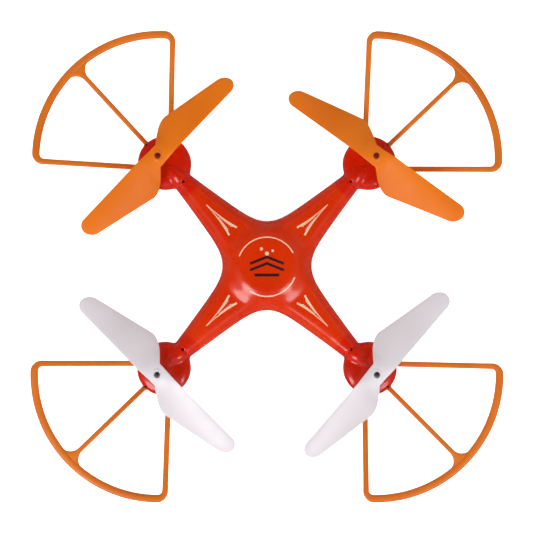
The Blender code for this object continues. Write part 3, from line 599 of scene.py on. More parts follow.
def arm_grid(rows, half_widths, columns):
    """Plan points (x, y) of a grid over the four arms, with fine columns at the outline."""
    t = np.sin(np.linspace(-1.0, 1.0, 2 * columns + 1) * pi / 2.0)
    s = np.repeat(rows[:, None], len(t), axis=1)
    across = half_widths[:, None] * t[None, :]
    grids = []
    for quarter in range(4):
        angle = pi / 4.0 + quarter * pi / 2.0
        grids.append((s * cos(angle) - across * sin(angle), s * sin(angle) + across * cos(angle)))
    return grids


def cover(rows, half_widths, columns, height, base):
    """A closed solid between height(x, y) over the star outline and a flat face at base."""
    bm = bmesh.new()
    for x, y in arm_grid(rows, half_widths, columns):
        z = height(x, y)
        verts = [[bm.verts.new((x[i, j], y[i, j], z[i, j])) for j in range(x.shape[1])]
                 for i in range(x.shape[0])]
        for near, far in zip(verts, verts[1:]):
            for j in range(len(near) - 1):
                bm.faces.new((near[j], near[j + 1], far[j + 1], far[j]))
    bmesh.ops.remove_doubles(bm, verts=bm.verts, dist=2e-3)
    edges = [edge for edge in bm.edges if edge.is_boundary]
    levels = 3
    for level in range(levels):
        made = bmesh.ops.extrude_edge_only(bm, edges=edges)["geom"]
        for item in made:
            if isinstance(item, bmesh.types.BMVert):
                item.co.z += (base - item.co.z) / (levels - level)
        edges = [item for item in made if isinstance(item, bmesh.types.BMEdge) and item.is_boundary]
    bmesh.ops.contextual_create(bm, geom=edges)
    bmesh.ops.recalc_face_normals(bm, faces=bm.faces)
    return taken_from(bm)


def corner_copies(solid):
    """The same solid on all four arms, as one set of points and faces."""
    copies = [moved(solid, Matrix.Rotation(radians(CORNER_TURN[corner]), 4, "Z"))
              for corner in CORNERS]
    return gathered(*copies)


def cylinder(radius, bottom, top, s, steps=32):
    return turned([(0.0, bottom), (radius, bottom), (radius, top), (0.0, top)], steps, (s, 0.0))


def upper_cover():
    end_angles = np.linspace(0.0, pi / 2.0, 34)[1:]
    pod_rows = POD_S + 4.0 + (POD_RADIUS - 4.0) * np.sin(end_angles)
    rows = np.concatenate([np.linspace(0.0, WAIST_S, 17), np.linspace(WAIST_S, 72.0, 42)[1:],
                           np.linspace(72.0, 76.4, 9)[1:], np.linspace(76.4, 79.6, 17)[1:],
                           np.linspace(79.6, 86.0, 15)[1:], np.linspace(86.0, POD_S + 4.0, 14)[1:],
                           pod_rows])
    rows[-1] -= 0.002
    outer = cover(rows, upper_half_width(rows), 22, upper_height, PARTING)
    rows = np.concatenate([np.linspace(0.0, WAIST_S, 6), np.linspace(WAIST_S, 84.0, 14)[1:]])
    half = np.minimum(rows, arm_half_width(rows) - WALL)
    hollow = cover(rows, half, 5, lambda x, y: PARTING + (crown(np.hypot(x, y)) - 1.0) * 0.8
                   * edge_rise(x, y, WALL) - 0.4, PARTING - 1.0)
    inner = POD_RADIUS - 1.4
    room = turned([(0.0, PARTING - 1.2), (inner, PARTING - 1.2), (inner, PARTING + 3.4),
                   (0.0, PARTING + 7.0)], 48, (POD_S, 0.0))
    holes = gathered(cylinder(1.6, PARTING + 1.0, PARTING + 14.0, ROTOR_S),
                     cylinder(1.55, PARTING - 1.0, PARTING + 10.0, SCREW_S),
                     cylinder(1.0, PARTING + 5.0, PARTING + 14.0, NECK_SCREW_S, 24))
    points, faces = boolean(outer, "DIFFERENCE",
                            [hollow, corner_copies(room), corner_copies(holes)])
    piece("upper_cover", mesh_from("upper_cover", points, faces, 32.0), "airframe",
          BODY_RED, ("upper_shell",))


def lower_cover():
    rows = np.concatenate([np.linspace(0.0, WAIST_S, 9),
                           np.linspace(WAIST_S, LOWER_ARM_END, 34)[1:]])
    half = np.minimum(rows, arm_half_width(rows))
    outer = cover(rows, half, 13, lower_height, LOWER_TOP)
    bay = rounded_box((-BAY_HALF_X, BAY_REAR, BAY_BOTTOM), (BAY_HALF_X, BAY_FRONT, 25.0), 2.2, 5)
    rows = np.concatenate([np.linspace(0.0, WAIST_S, 5), np.linspace(WAIST_S, 77.5, 12)[1:]])
    half = np.minimum(rows, arm_half_width(rows) - WALL)
    hollow = cover(rows, half, 5, lambda x, y: LOWER_TOP + 0.1
                   - (BELLY_DEPTH - BELLY_FALL * np.hypot(x, y) - RIM - WALL)
                   * edge_rise(x, y, WALL), LOWER_TOP + 1.0)
    room = rounded_box((WALL - BAY_HALF_X, BAY_REAR + WALL, BAY_BOTTOM + WALL),
                       (BAY_HALF_X - WALL, BAY_FRONT - WALL, 26.0), 1.0, 2)
    doorway = rounded_box((-DOORWAY_HALF_X, BAY_REAR - 1.0, DOORWAY_BOTTOM),
                          (DOORWAY_HALF_X, BAY_REAR + 3.0, DOORWAY_TOP), 0.6, 3)
    knob_y = (KNOB_LOW.y + KNOB_HIGH.y) / 2.0
    slot_x = SWITCH_TRAVEL / 2.0 + 2.3
    slot = rounded_box((-slot_x, knob_y - 1.8, BAY_BOTTOM - 1.0),
                       (slot_x, knob_y + 1.8, BAY_BOTTOM + 3.0), 0.5, 3)
    vents = gathered(*[rounded_box((x - 0.6, -9.0, BAY_BOTTOM - 0.5),
                                   (x + 0.6, 3.0, BAY_BOTTOM + 0.6), 0.35, 2) for x in VENTS_X])
    wells = corner_copies(cylinder(1.7, 16.0, 21.4, COVER_SCREW_S, 24))
    shell = boolean(outer, "UNION", [bay])
    shell = boolean(shell, "DIFFERENCE", [hollow, room, doorway, slot, vents, wells])
    extras = []
    for side in (-1.0, 1.0):
        near = side * (BARREL_HALF + GAP)
        middle_x = near + side * 1.5
        knuckle = rounded([(0.7, -1.5), (BARREL_RADIUS, -1.5), (BARREL_RADIUS, 1.5), (0.7, 1.5),
                           (0.7, -1.5)], 0.2, 3)
        lay = Matrix.Translation((middle_x, HINGE.y, HINGE.z)) @ Matrix.Rotation(pi / 2.0, 4, "Y")
        extras.append(moved(turned(knuckle[:-1], 32), lay))
        extras.append(rounded_box((middle_x - 1.5, HINGE.y + 0.8, HINGE.z - 1.5),
                                  (middle_x + 1.5, BAY_REAR + 0.6, HINGE.z + 1.45), 0.2, 2))
        extras.append(rounded_box((side * RAIL_X - 0.8, BAY_REAR + 1.0, BAY_BOTTOM + 1.0),
                                  (side * RAIL_X + 0.8, 15.0, RAIL_TOP), 0.2, 2))
    points, faces = gathered(shell, *extras)
    piece("lower_cover", mesh_from("lower_cover", points, faces, 32.0), "airframe",
          BODY_RED, ("lower_shell",))


# ---------------------------------------------------------------- printed marks

MARK_Y = -1.1
MARK_RADIUS = 19.3
MARK_LIFT = 0.05
MARK_DEPTH = 0.12
ARM_MARK_S = 56.5
ARM_MARK_LENGTH = 25.0


def strip(path, widths):
    """A thin printed band that follows the upper cover along a plan path of (x, y)."""
    path = np.asarray(path, float)
    tangent = np.gradient(path, axis=0)
    tangent /= np.linalg.norm(tangent, axis=1)[:, None]
    normal = np.stack([-tangent[:, 1], tangent[:, 0]], axis=1)
    sections = []
    for k in range(len(path)):
        top = []
        under = []
        for across in (-0.5, 0.0, 0.5):
            x, y = path[k] + normal[k] * widths[k] * across
            z = float(upper_height(np.array([x]), np.array([y]))[0])
            top.append((x, y, z + MARK_LIFT))
            under.append((x, y, z + MARK_LIFT - MARK_DEPTH))
        sections.append(top + under[::-1])
    return lofted(sections)


def arc_path(start, end):
    angles = np.radians(np.linspace(start, end, 48))
    return MARK_RADIUS * np.stack([np.cos(angles), np.sin(angles)], axis=1)


def on_arm(path):
    """Points (s, t) of the front right arm as (x, y)."""
    return np.stack([path[:, 0] - path[:, 1], path[:, 0] + path[:, 1]], axis=1) / ROOT_TWO


def printed_marks():
    arcs = [arc_path(28.0, 159.0), arc_path(235.0, 339.0)]
    ring = gathered(*[strip(arc + [0.0, MARK_Y], np.full(48, 0.8)) for arc in arcs])
    piece("ring_mark", mesh_from("ring_mark", *ring), "airframe", PRINT_CREAM)
    solids = []
    for side in (-1.0, 1.0):
        f = np.linspace(0.0, 1.0, 30)
        s = ARM_MARK_S - ARM_MARK_LENGTH * f
        t = side * (0.1 + 0.95 * f + 2.5 * f ** 2.4)
        widths = 0.34 + 0.95 * f ** 1.3
        solids.append(strip(on_arm(np.stack([s, t], axis=1)), widths))
        for k in range(7):
            start_s = 33.6 + 1.55 * k
            reach = (ARM_MARK_S - start_s) / ARM_MARK_LENGTH
            inner_t = 0.95 * reach + 2.5 * reach ** 2.4 - 0.25
            line = np.linspace([start_s, side * inner_t],
                               [start_s + 1.9, side * inner_t * 0.42], 5)
            solids.append(strip(on_arm(line), np.full(5, 0.5)))
    mesh = mesh_from("arm_mark", *gathered(*solids))
    for corner in CORNERS:
        piece("arm_mark_" + corner, mesh, "airframe", PRINT_CREAM,
              turn=CORNER_TURN[corner] - 45.0)
    chevrons = []
    for y0 in (-2.2, 2.0):
        f = np.linspace(0.0, 1.0, 41)
        path = np.stack([-11.0 + 22.0 * f, y0 + MARK_Y + 4.4 * (1.0 - abs(2.0 * f - 1.0))], axis=1)
        chevrons.append(strip(path, np.full(41, 1.7)))
    bar = np.stack([np.linspace(-8.0, 8.0, 31), np.full(31, MARK_Y - 5.4)], axis=1)
    chevrons.append(strip(bar, np.full(31, 1.9)))
    piece("forward_mark", mesh_from("forward_mark", *gathered(*chevrons)), "airframe",
          PRINT_DARK)
    dots = []
    for x, y, size in ((-3.6, 11.6, 2.0), (0.0, 8.6, 2.6), (3.8, 10.4, 1.6)):
        dots.append(strip(np.stack([np.linspace(x - size / 2.0, x + size / 2.0, 9),
                                    np.full(9, y + MARK_Y)], axis=1),
                          size * np.sqrt(1.0 - np.linspace(-0.98, 0.98, 9) ** 2) + 0.05))
    piece("dot_mark", mesh_from("dot_mark", *gathered(*dots)), "airframe",
          PRINT_CREAM)


# ---------------------------------------------------------------- pods, legs and lenses

def pod_bases():
    bowl = rounded([(0.0, BOWL_FLOOR), (BOWL_RADIUS - 4.0, BOWL_FLOOR),
                    (BOWL_RADIUS - 0.8, BOWL_FLOOR + 1.4), (BOWL_RADIUS, BOWL_FLOOR + 3.8),
                    (BOWL_RADIUS, BOWL_TOP), (BOWL_RADIUS - WALL, BOWL_TOP),
                    (BOWL_RADIUS - WALL, BOWL_FLOOR + 4.5), (BOWL_RADIUS - 4.5, BOWL_FLOOR + WALL),
                    (0.0, BOWL_FLOOR + WALL)], 1.6, 5)
    sleeve = rounded([(SLEEVE_INNER, BOWL_FLOOR + 2.0), (SLEEVE_INNER, SLEEVE_BOTTOM),
                      (SLEEVE_OUTER, SLEEVE_BOTTOM), (SLEEVE_OUTER, BOWL_FLOOR - 1.6),
                      (SLEEVE_OUTER + 0.9, BOWL_FLOOR + 0.6),
                      (SLEEVE_OUTER + 0.9, BOWL_FLOOR + 2.0),
                      (SLEEVE_INNER, BOWL_FLOOR + 2.0)], 0.5, 3)[:-1]
    solids = [turned(bowl, 72, (POD_S, 0.0)), turned(sleeve, 48, (MOTOR_S, 0.0))]
    for i in range(6):
        angle = 2.0 * pi * (i + 0.5) / 6.0
        rib = rounded_box((SLEEVE_OUTER - 0.4, -0.45, FOOT_HIGH.z + 0.6),
                          (SLEEVE_OUTER + 0.55, 0.45, BOWL_FLOOR + 0.8), 0.25, 2)
        solids.append(moved(rib, Matrix.Translation((MOTOR_S, 0.0, 0.0))
                            @ Matrix.Rotation(angle, 4, "Z")))
    lug_top = GUARD_LOW.z - GAP
    lug = [(0.0, BOWL_FLOOR + 1.0), (LUG_RADIUS, BOWL_FLOOR + 1.0), (LUG_RADIUS, lug_top),
           (0.0, lug_top)]
    solids.append(turned(rounded(lug, 0.4, 3), 32, (SCREW_S, 0.0)))
    solids.append(rounded_box((POD_S + BOWL_RADIUS - 1.0, -2.4, BOWL_FLOOR + 1.6),
                              (SCREW_S, 2.4, lug_top - GAP), 0.3, 2))
    bezel = rounded([(6.3, BOWL_FLOOR + 0.3), (6.3, BOWL_FLOOR - 0.9), (5.25, BOWL_FLOOR - 0.9),
                     (5.25, BOWL_FLOOR + 0.3), (6.3, BOWL_FLOOR + 0.3)], 0.3, 3)[:-1]
    solids.append(turned(bezel, 40, (ROTOR_S, 0.0)))
    on_arms("pod_bowl", gathered(*solids), "airframe", BODY_RED, "gearbox_base")


def feet():
    cup = SLEEVE_OUTER + GAP
    low = FOOT_LOW.z
    high = FOOT_HIGH.z
    cap = rounded([(0.0, low), (FOOT_FLAT, low), (FOOT_RADIUS, low + 1.1), (FOOT_RADIUS, high),
                   (cup, high), (cup, SLEEVE_BOTTOM - GAP), (0.0, SLEEVE_BOTTOM - GAP)], 0.5, 4)
    solids = [turned(cap, 56, (MOTOR_S, 0.0))]
    for i in range(3):
        z = low + 2.0 + 1.3 * i
        band = [(6.45, z), (FOOT_RADIUS, z + 0.1), (FOOT_RADIUS, z + 0.5), (6.45, z + 0.6)]
        solids.append(turned(band, 56, (MOTOR_S, 0.0)))
    on_arms("foot", gathered(*solids), "airframe", RUBBER, "foot_cap")


def lenses():
    top = LENS_HIGH.z
    low = LENS_LOW.z
    dome = [(LENS_RADIUS * sin(pi / 2.0 * i / 12),
             top - 1.0 - (top - 1.0 - low) * cos(pi / 2.0 * i / 12)) for i in range(13)]
    solid = turned(dome + [(LENS_RADIUS, top), (0.0, top)], 48, (ROTOR_S, 0.0))
    on_arms("lens", solid, "airframe", LENS, "led_lens")


# ---------------------------------------------------------------- rotors

def trailing_edge(u):
    """Distance of the bulged rear edge from the blade's axis line."""
    if u < BULGE_AT:
        along = max(u - BULGE_START, 0.0) / (BULGE_AT - BULGE_START)
        return BLADE_ROOT + (BLADE_BULGE - BLADE_ROOT) * sin(along * pi / 2.0)
    along = (u - BULGE_AT) / (TIP_START - BULGE_AT)
    return BLADE_BULGE + (TIP_REAR - BLADE_BULGE) * along


def blade_section(u):
    """The front and rear edges, the pitch and the thickness at u along the propeller."""
    reach = abs(u)
    front = BLADE_FRONT
    rear = trailing_edge(reach)
    thick = 1.25
    if reach > TIP_START:
        closing = (reach - TIP_START) / (BLADE_TIP - TIP_START)
        centre = (rear - front) / 2.0
        half = (rear + front) / 2.0 * sqrt(max(1.0 - closing ** 2, 0.002))
        front = half - centre
        rear = half + centre
        thick *= 1.0 - 0.45 * closing
    turn_in = min(reach / 12.0, 1.0)
    turn_in = turn_in ** 2 * (3.0 - 2.0 * turn_in)
    pitch = turn_in * radians(30.0 - 14.0 * reach / BLADE_TIP)
    return front, rear, pitch, thick + 0.9 * (1.0 - turn_in)


def blade_skin(hand):
    inner = np.linspace(0.0, 30.0, 31)
    outer = np.linspace(30.0, TIP_START, 22)[1:]
    tip = TIP_START + (BLADE_TIP - TIP_START) * np.sin(np.linspace(0.0, pi / 2.0, 12))[1:]
    reaches = np.concatenate([inner, outer, tip])
    stations = np.concatenate([-reaches[:0:-1], reaches])
    around = 28
    sections = []
    for u in stations:
        front, rear, pitch, thick = blade_section(u)
        outward = 1.0 if u >= 0.0 else -1.0
        chord = front + rear
        section = []
        for i in range(around):
            angle = 2.0 * pi * (i + 0.5) / around
            across = 0.5 - 0.5 * cos(angle)
            body = abs(sin(angle)) ** 0.7 * (1.0 - 0.35 * across)
            camber = 0.035 * chord * 4.0 * across * (1.0 - across) * min(abs(u) / 14.0, 1.0)
            up = camber + (0.5 * thick * body if angle < pi else -0.5 * thick * body)
            v = -front + chord * across
            section.append((u, outward * hand * v, BLADE_Z - v * np.tan(pitch) + up))
        if outward < 0.0:
            section = section[around // 2 - 1::-1] + section[:around // 2 - 1:-1]
        sections.append(section)
    return lofted(sections)


def propellers():
    low = box_mm("propeller_front_right")[0].z
    boss = rounded([(1.25, low), (3.4, low), (4.6, BLADE_Z - 1.0), (4.7, BLADE_Z + 0.4),
                    (3.2, BLADE_Z + 1.15), (2.1, BLADE_Z + 1.25), (2.0, BLADE_Z + 0.6),
                    (1.25, BLADE_Z + 0.6)], 0.5, 4)
    for corner in CORNERS:
        hand = 1.0 if corner in CLOCKWISE_CORNERS else -1.0
        skin = gathered(blade_skin(hand), turned(boss, 48))
        spin = Matrix.Rotation(radians(BLADE_ANGLES[corner]), 4, "Z")
        mesh = mesh_from("blades_" + corner, *moved(skin, spin))
        centre = joint_place("rotor_spin_" + corner)
        front = corner.startswith("front")
        slot, material = ("blade_orange", BLADE_ORANGE) if front else ("blade_white", BLADE_WHITE)
        piece("blades_" + corner, mesh, "rotor_" + corner, material,
              ("propeller_" + corner,), at=(centre.x, centre.y, 0.0))


def screw_solid(shank_low, seat, head, at, shank=0.8):
    """A pan-head screw with a crossed recess."""
    top = seat + 0.42 * head + 0.35
    profile = [(0.0, shank_low), (shank, shank_low), (shank, seat), (head, seat),
               (head, seat + 0.3 * head), (head * 0.72, top - 0.12), (0.0, top)]
    body = turned(rounded(profile, 0.25, 3), 32, (at, 0.0))
    cross = [rounded_box((at - 0.62 * head, -0.13 * head, top - 0.38 * head),
                         (at + 0.62 * head, 0.13 * head, top + 1.0), 0.03, 1),
             rounded_box((at - 0.13 * head, -0.62 * head, top - 0.38 * head),
                         (at + 0.13 * head, 0.62 * head, top + 1.0), 0.03, 1)]
    return boolean(body, "DIFFERENCE", cross)


def fasteners():
    low, high = box_mm("propeller_screw_front_right")
    solid = screw_solid(low.z, BLADE_Z + 0.9, 1.85, ROTOR_S)
    mesh = mesh_from("hub_screw", *solid)
    pale = mesh.copy()
    for corner in CORNERS:
        front = corner.startswith("front")
        piece("hub_screw_" + corner, mesh if front else pale, "rotor_" + corner,
              SCREW_DARK if front else SCREW_GREY, ("propeller_screw_" + corner,),
              CORNER_TURN[corner])
    low, high = box_mm("guard_screw_front_right")
    solid = screw_solid(low.z, GUARD_LOW.z + LEG_HEIGHT + GAP, 1.25, SCREW_S, 0.6)
    on_arms("guard_screw_head", solid, "airframe", SCREW_DARK, "guard_screw")
    neck = screw_solid(PARTING + 4.0, PARTING + 8.0, 0.9, NECK_SCREW_S, 0.5)
    on_arms("neck_screw", neck, "airframe", SCREW_DARK)
    under = moved(screw_solid(-4.0, 0.0, 1.45, COVER_SCREW_S, 0.6),
                  Matrix.Translation((0.0, 0.0, 21.3)) @ Matrix.Rotation(pi, 4, "X"))
    on_arms("cover_screw", under, "airframe", SCREW_DARK)
    shaft = rounded([(0.0, SHAFT_LOW.z), (SHAFT_RADIUS, SHAFT_LOW.z),
                     (SHAFT_RADIUS, SHAFT_HIGH.z), (0.0, SHAFT_HIGH.z)], 0.15, 2)
    on_arms("shaft", turned(shaft, 32, (ROTOR_S, 0.0)), "rotor", STEEL, "rotor_shaft")
    collar = rounded([(1.1, 38.0), (1.1, 37.0), (2.6, 37.0), (2.3, 38.3), (1.1, 38.3)], 0.3, 3)
    on_arms("shaft_collar", turned(collar, 32, (ROTOR_S, 0.0)), "airframe", BODY_RED)


# ---------------------------------------------------------------- guards

RING_OUTER = 84.0
RING_WIDTH = 4.8
RING_HEIGHT = 3.8
RING_CORNER = 5.2
LEG_INSET = 5.5
LEG_WIDTH = 3.6
LEG_START = 10.6
LEG_HEIGHT = 2.4
SPOKE_WIDTH = 3.2
SPOKE_FILLET = 8.0
COLLAR_HALF_ANGLE = 54.0
EYE_BORE = 0.95
EYE_RADIUS = 2.3


def guard_frame_path():
    """The outer loop of a guard about the rotor axis: a leg, a corner, the ring and back."""
    line = RING_OUTER - RING_WIDTH / 2.0
    centre_x = sqrt((line - RING_CORNER) ** 2 - (RING_CORNER - LEG_INSET) ** 2)
    centre_y = RING_CORNER - LEG_INSET
    meet = atan2(centre_y, centre_x)
    leg = [(x, -LEG_INSET) for x in np.linspace(LEG_START, centre_x, 24)[:-1]]
    bend = [(centre_x + RING_CORNER * cos(a), centre_y + RING_CORNER * sin(a))
            for a in np.linspace(-pi / 2.0, meet, 12)[:-1]]
    half_ring = [(line * cos(a), line * sin(a)) for a in np.linspace(meet, pi / 4.0, 40)]
    first = leg + bend + half_ring
    second = [(y, x) for x, y in first[-2::-1]]
    return first + second, len(leg), len(bend)


def guards():
    ring_z = GUARD_HIGH.z - RING_HEIGHT / 2.0
    collar_z = GUARD_LOW.z + LEG_HEIGHT / 2.0
    path, legs, bends = guard_frame_path()
    count = len(path)
    reach = RING_OUTER - RING_WIDTH / 2.0 - RING_CORNER

    def lifted(x, y):
        along = (max(x, y) - LEG_START) / (reach - LEG_START)
        return collar_z + (ring_z - collar_z) * min(max(along, 0.0), 1.0)

    points = []
    widths = []
    heights = []
    for k, (x, y) in enumerate(path):
        from_end = min(k, count - 1 - k)
        into = min(max((from_end - legs + 4) / (bends + 4.0), 0.0), 1.0)
        into = into ** 2 * (3.0 - 2.0 * into)
        z = lifted(x, y) if from_end < legs else ring_z
        points.append((x, y, z))
        widths.append(LEG_WIDTH + (RING_WIDTH - LEG_WIDTH) * into)
        heights.append(LEG_HEIGHT + (RING_HEIGHT - LEG_HEIGHT) * into)
    loop = swept(points, widths, heights)
    loop = moved(loop, Matrix.Translation((ROTOR_S, 0.0, 0.0)) @ Matrix.Rotation(-pi / 4.0, 4, "Z"))
    ring_s = ROTOR_S + RING_OUTER - RING_WIDTH / 2.0
    inner_s = ring_s - RING_WIDTH / 2.0
    spoke_points = []
    spoke_widths = []
    spoke_heights = []
    flare_s = inner_s - SPOKE_FILLET
    quarter = np.linspace(0.0, pi / 2.0, 16)[1:]
    stations = np.concatenate([np.linspace(SCREW_S + 1.0, flare_s, 26),
                               inner_s - SPOKE_FILLET * np.cos(quarter), [inner_s + 1.6]])
    for s in stations:
        near_ring = min(max((s - inner_s + SPOKE_FILLET) / SPOKE_FILLET, 0.0), 1.0)
        flare = SPOKE_FILLET - SPOKE_FILLET * sqrt(max(1.0 - near_ring ** 2, 0.0))
        along = (s - SCREW_S) / (flare_s - SCREW_S)
        spoke_points.append((s, 0.0, collar_z + (ring_z - collar_z) * min(along, 1.0)))
        spoke_widths.append(SPOKE_WIDTH + 2.0 * min(flare, 0.96 * SPOKE_FILLET))
        spoke_heights.append(LEG_HEIGHT)
    spoke = swept(spoke_points, spoke_widths, spoke_heights, 24, 3.2)
    collar_inner = BOWL_RADIUS + GAP
    collar = []
    for k in range(49):
        angle = radians(COLLAR_HALF_ANGLE) * (k / 24.0 - 1.0)
        section = [(collar_inner, -1.2), (collar_inner, 1.2), (collar_inner + 0.3, 1.2),
                   (collar_inner + 1.6, 1.2), (collar_inner + 1.8, 1.0), (collar_inner + 1.8, -1.0),
                   (collar_inner + 1.6, -1.2), (collar_inner + 0.3, -1.2)]
        collar.append([(POD_S + r * cos(angle), r * sin(angle), collar_z + z) for r, z in section])
    eye = rounded([(EYE_BORE, -1.2), (EYE_RADIUS, -1.2), (EYE_RADIUS, 1.2), (EYE_BORE, 1.2),
                   (EYE_BORE, -1.2)], 0.35, 3)[:-1]
    eye = turned([(r, collar_z + z) for r, z in eye], 40, (SCREW_S, 0.0))
    solid = gathered(loop, spoke, lofted(collar), eye)
    pod_home = Matrix.Translation((-POD_S, 0.0, 0.0))
    for corner in CORNERS:
        angle = radians(CORNER_TURN[corner])
        turn = Matrix.Rotation(radians(CORNER_TURN[corner] + GUARD_TURNS[corner]), 4, "Z")
        mesh = mesh_from("guard_" + corner, *moved(solid, turn @ pod_home))
        piece("guard_" + corner, mesh, "airframe", GUARD_ORANGE,
              ("prop_guard_" + corner,), at=(POD_S * cos(angle), POD_S * sin(angle), 0.0))


# ---------------------------------------------------------------- door, switch and inner pieces

def door():
    outside = HINGE.y + 0.4
    plate = rounded_box((DOOR_LOW.x, outside, HINGE.z + 1.8),
                        (DOOR_HIGH.x, outside + 1.2, DOOR_HIGH.z), 0.4, 4)
    web = rounded_box((-6.7, HINGE.y - 0.4, HINGE.z + 0.4),
                      (6.7, outside + 1.15, HINGE.z + 3.0), 0.3, 2)
    lay = Matrix.Translation((0.0, HINGE.y, HINGE.z)) @ Matrix.Rotation(pi / 2.0, 4, "Y")
    barrel = rounded([(0.7, -BARREL_HALF), (BARREL_RADIUS, -BARREL_HALF),
                      (BARREL_RADIUS, BARREL_HALF), (0.7, BARREL_HALF), (0.7, -BARREL_HALF)],
                     0.25, 3)[:-1]
    grips = []
    for i in range(3):
        z = DOOR_HIGH.z - 1.4 - 1.0 * i
        grips.append(rounded_box((-5.0, outside - 0.5, z - 0.3),
                                 (5.0, outside + 0.4, z + 0.3), 0.2, 2))
    solid = gathered(plate, web, moved(turned(barrel, 32), lay), *grips)
    piece("bay_door", mesh_from("bay_door", *solid), "battery_door", BODY_RED,
          ("battery_door",))
    reach = box_mm("battery_door_pin")[1].x
    pin = rounded([(0.0, -reach), (0.6, -reach), (0.6, reach), (0.0, reach)], 0.12, 2)
    piece("bay_door_pin", mesh_from("bay_door_pin", *moved(turned(pin, 24), lay)), "airframe",
          STEEL, ("battery_door_pin",))


def switch():
    cap_top = BAY_BOTTOM + 0.6
    cap = rounded_box((KNOB_LOW.x, KNOB_LOW.y, KNOB_LOW.z),
                      (KNOB_HIGH.x, KNOB_HIGH.y, cap_top), 0.3, 3)
    centre = (KNOB_LOW + KNOB_HIGH) / 2.0
    stem = rounded_box((centre.x - 1.2, centre.y - 0.9, KNOB_LOW.z + 0.4),
                       (centre.x + 1.2, centre.y + 0.9, KNOB_HIGH.z), 0.15, 2)
    ridges = []
    for i in (-1.0, 0.0, 1.0):
        x = centre.x + 0.9 * i
        ridges.append(rounded_box((x - 0.2, KNOB_LOW.y + 0.3, KNOB_LOW.z - 0.25),
                                  (x + 0.2, KNOB_HIGH.y - 0.3, KNOB_LOW.z + 0.3), 0.1, 2))
    piece("switch_knob", mesh_from("switch_knob", *gathered(cap, stem, *ridges)),
          "power_switch_knob", SWITCH_BLACK, ("power_switch_knob",))


def finish_inner_nodes():
    """Gives each CAD node that stays in view its own procedural material."""
    kinds = {"main_gear": NYLON, "motor_pinion": BRASS, "motor_": STEEL, "shaft_bush": BRASS,
             "circuit_board": BOARD_GREEN, "battery_pack": BATTERY_WRAP,
             "power_switch_housing": SWITCH_BLACK}
    for name, node in frame["nodes"].items():
        for start, material in kinds.items():
            if name.startswith(start):
                node.data.materials.clear()
                node.data.materials.append(material)
                break


# ---------------------------------------------------------------- floor, light and camera

BACKDROP = 0.74
FLOOR_SIZE = 30.0
RING_LIGHTS = 6
RING_REACH = 1.9
RING_LEVEL = 1.7
CAMERA_DISTANCE = 0.600
CAMERA_LEAN = radians(1.4)
CAMERA_SENSOR = 36.0
VIEW_WIDTH = 0.3456


def floor():
    made, tree, shader = new_material("floor_pale")
    cloud = mapped(tree, linked_noise(tree, 3.0, 3.0), 0.0, 1.0)
    tree.links.new(blended(tree, cloud, (0.93, 0.93, 0.93), (0.95, 0.95, 0.95)),
                   shader.inputs["Base Color"])
    shader.inputs["Roughness"].default_value = 0.9
    shader.inputs["Specular IOR Level"].default_value = 0.0
    shader.inputs["Emission Color"].default_value = (1.0, 1.0, 1.0, 1.0)
    shader.inputs["Emission Strength"].default_value = BACKDROP
    facing = tree.nodes.new("ShaderNodeNewGeometry")
    clear = tree.nodes.new("ShaderNodeBsdfTransparent")
    one_sided = tree.nodes.new("ShaderNodeMixShader")
    tree.links.new(facing.outputs["Backfacing"], one_sided.inputs["Fac"])
    tree.links.new(shader.outputs["BSDF"], one_sided.inputs[1])
    tree.links.new(clear.outputs["BSDF"], one_sided.inputs[2])
    tree.links.new(one_sided.outputs["Shader"], tree.nodes["Material Output"].inputs["Surface"])
    bpy.ops.mesh.primitive_plane_add(size=FLOOR_SIZE,
                                     location=(0.0, 0.0, cad_bounds[0][2] - 0.0002))
    ground = bpy.context.object
    ground.name = "floor"
    ground.visible_glossy = False
    ground.data.materials.append(made)


def soft_box(name, place, size, power, shines=True, target=(0.0, 0.0, 0.03)):
    light = bpy.data.lights.new(name, "AREA")
    light.shape = "ELLIPSE"
    light.size, light.size_y = size
    light.energy = power
    lamp = bpy.data.objects.new(name, light)
    bpy.context.scene.collection.objects.link(lamp)
    lamp.location = place
    lamp.rotation_euler = (Vector(target) - Vector(place)).to_track_quat("-Z", "Y").to_euler()
    lamp.visible_glossy = shines


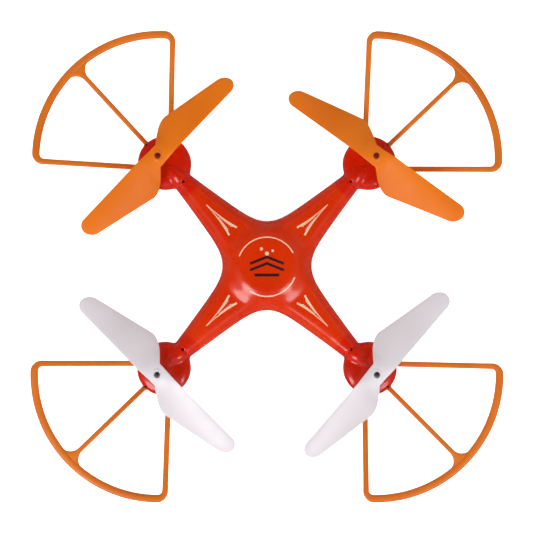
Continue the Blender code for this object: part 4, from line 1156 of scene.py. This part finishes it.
def lights():
    soft_box("key_left", (-0.80, -1.00, 1.30), (0.70, 0.90), 13.0)
    soft_box("key_right", (0.85, -1.00, 1.30), (0.55, 0.90), 7.5)
    for i in range(RING_LIGHTS):
        angle = radians(60.0 * i + 30.0)
        place = (RING_REACH * cos(angle), RING_REACH * sin(angle), RING_LEVEL)
        soft_box("ring_%d" % i, place, (1.5, 1.1), 10.5, False)
    world = bpy.data.worlds.new("studio")
    world.use_nodes = True
    tree = world.node_tree
    place = tree.nodes.new("ShaderNodeTexCoord")
    split = tree.nodes.new("ShaderNodeSeparateXYZ")
    tree.links.new(place.outputs["Generated"], split.inputs["Vector"])
    spread = tree.nodes.new("ShaderNodeMapRange")
    spread.inputs["From Min"].default_value = 0.9
    spread.inputs["From Max"].default_value = 0.1
    spread.inputs["To Min"].default_value = 0.01
    spread.inputs["To Max"].default_value = 0.08
    tree.links.new(split.outputs["Z"], spread.inputs["Value"])
    seen = tree.nodes.new("ShaderNodeLightPath")
    either = tree.nodes.new("ShaderNodeMix")
    tree.links.new(seen.outputs["Is Camera Ray"], either.inputs["Factor"])
    tree.links.new(spread.outputs["Result"], either.inputs["A"])
    either.inputs["B"].default_value = BACKDROP
    back = tree.nodes["Background"]
    back.inputs["Color"].default_value = (1.0, 1.0, 1.0, 1.0)
    tree.links.new(either.outputs["Result"], back.inputs["Strength"])
    bpy.context.scene.world = world
    bpy.context.scene.view_settings.view_transform = "Standard"


def camera():
    """Looks straight down, a touch from behind, so that the front is at the top."""
    target = Vector((-0.0003, -0.0010, BLADE_Z * MM))
    data = bpy.data.cameras.new("camera")
    data.sensor_width = CAMERA_SENSOR
    data.lens = CAMERA_SENSOR * CAMERA_DISTANCE / VIEW_WIDTH
    data.clip_start = 0.01
    made = bpy.data.objects.new("camera", data)
    bpy.context.scene.collection.objects.link(made)
    made.location = target + CAMERA_DISTANCE * Vector((0.0, -sin(CAMERA_LEAN), cos(CAMERA_LEAN)))
    made.rotation_euler = (CAMERA_LEAN, 0.0, 0.0)
    bpy.context.scene.camera = made


upper_cover()
lower_cover()
printed_marks()
pod_bases()
feet()
lenses()
propellers()
fasteners()
guards()
door()
switch()
finish_inner_nodes()
floor()
lights()
camera()
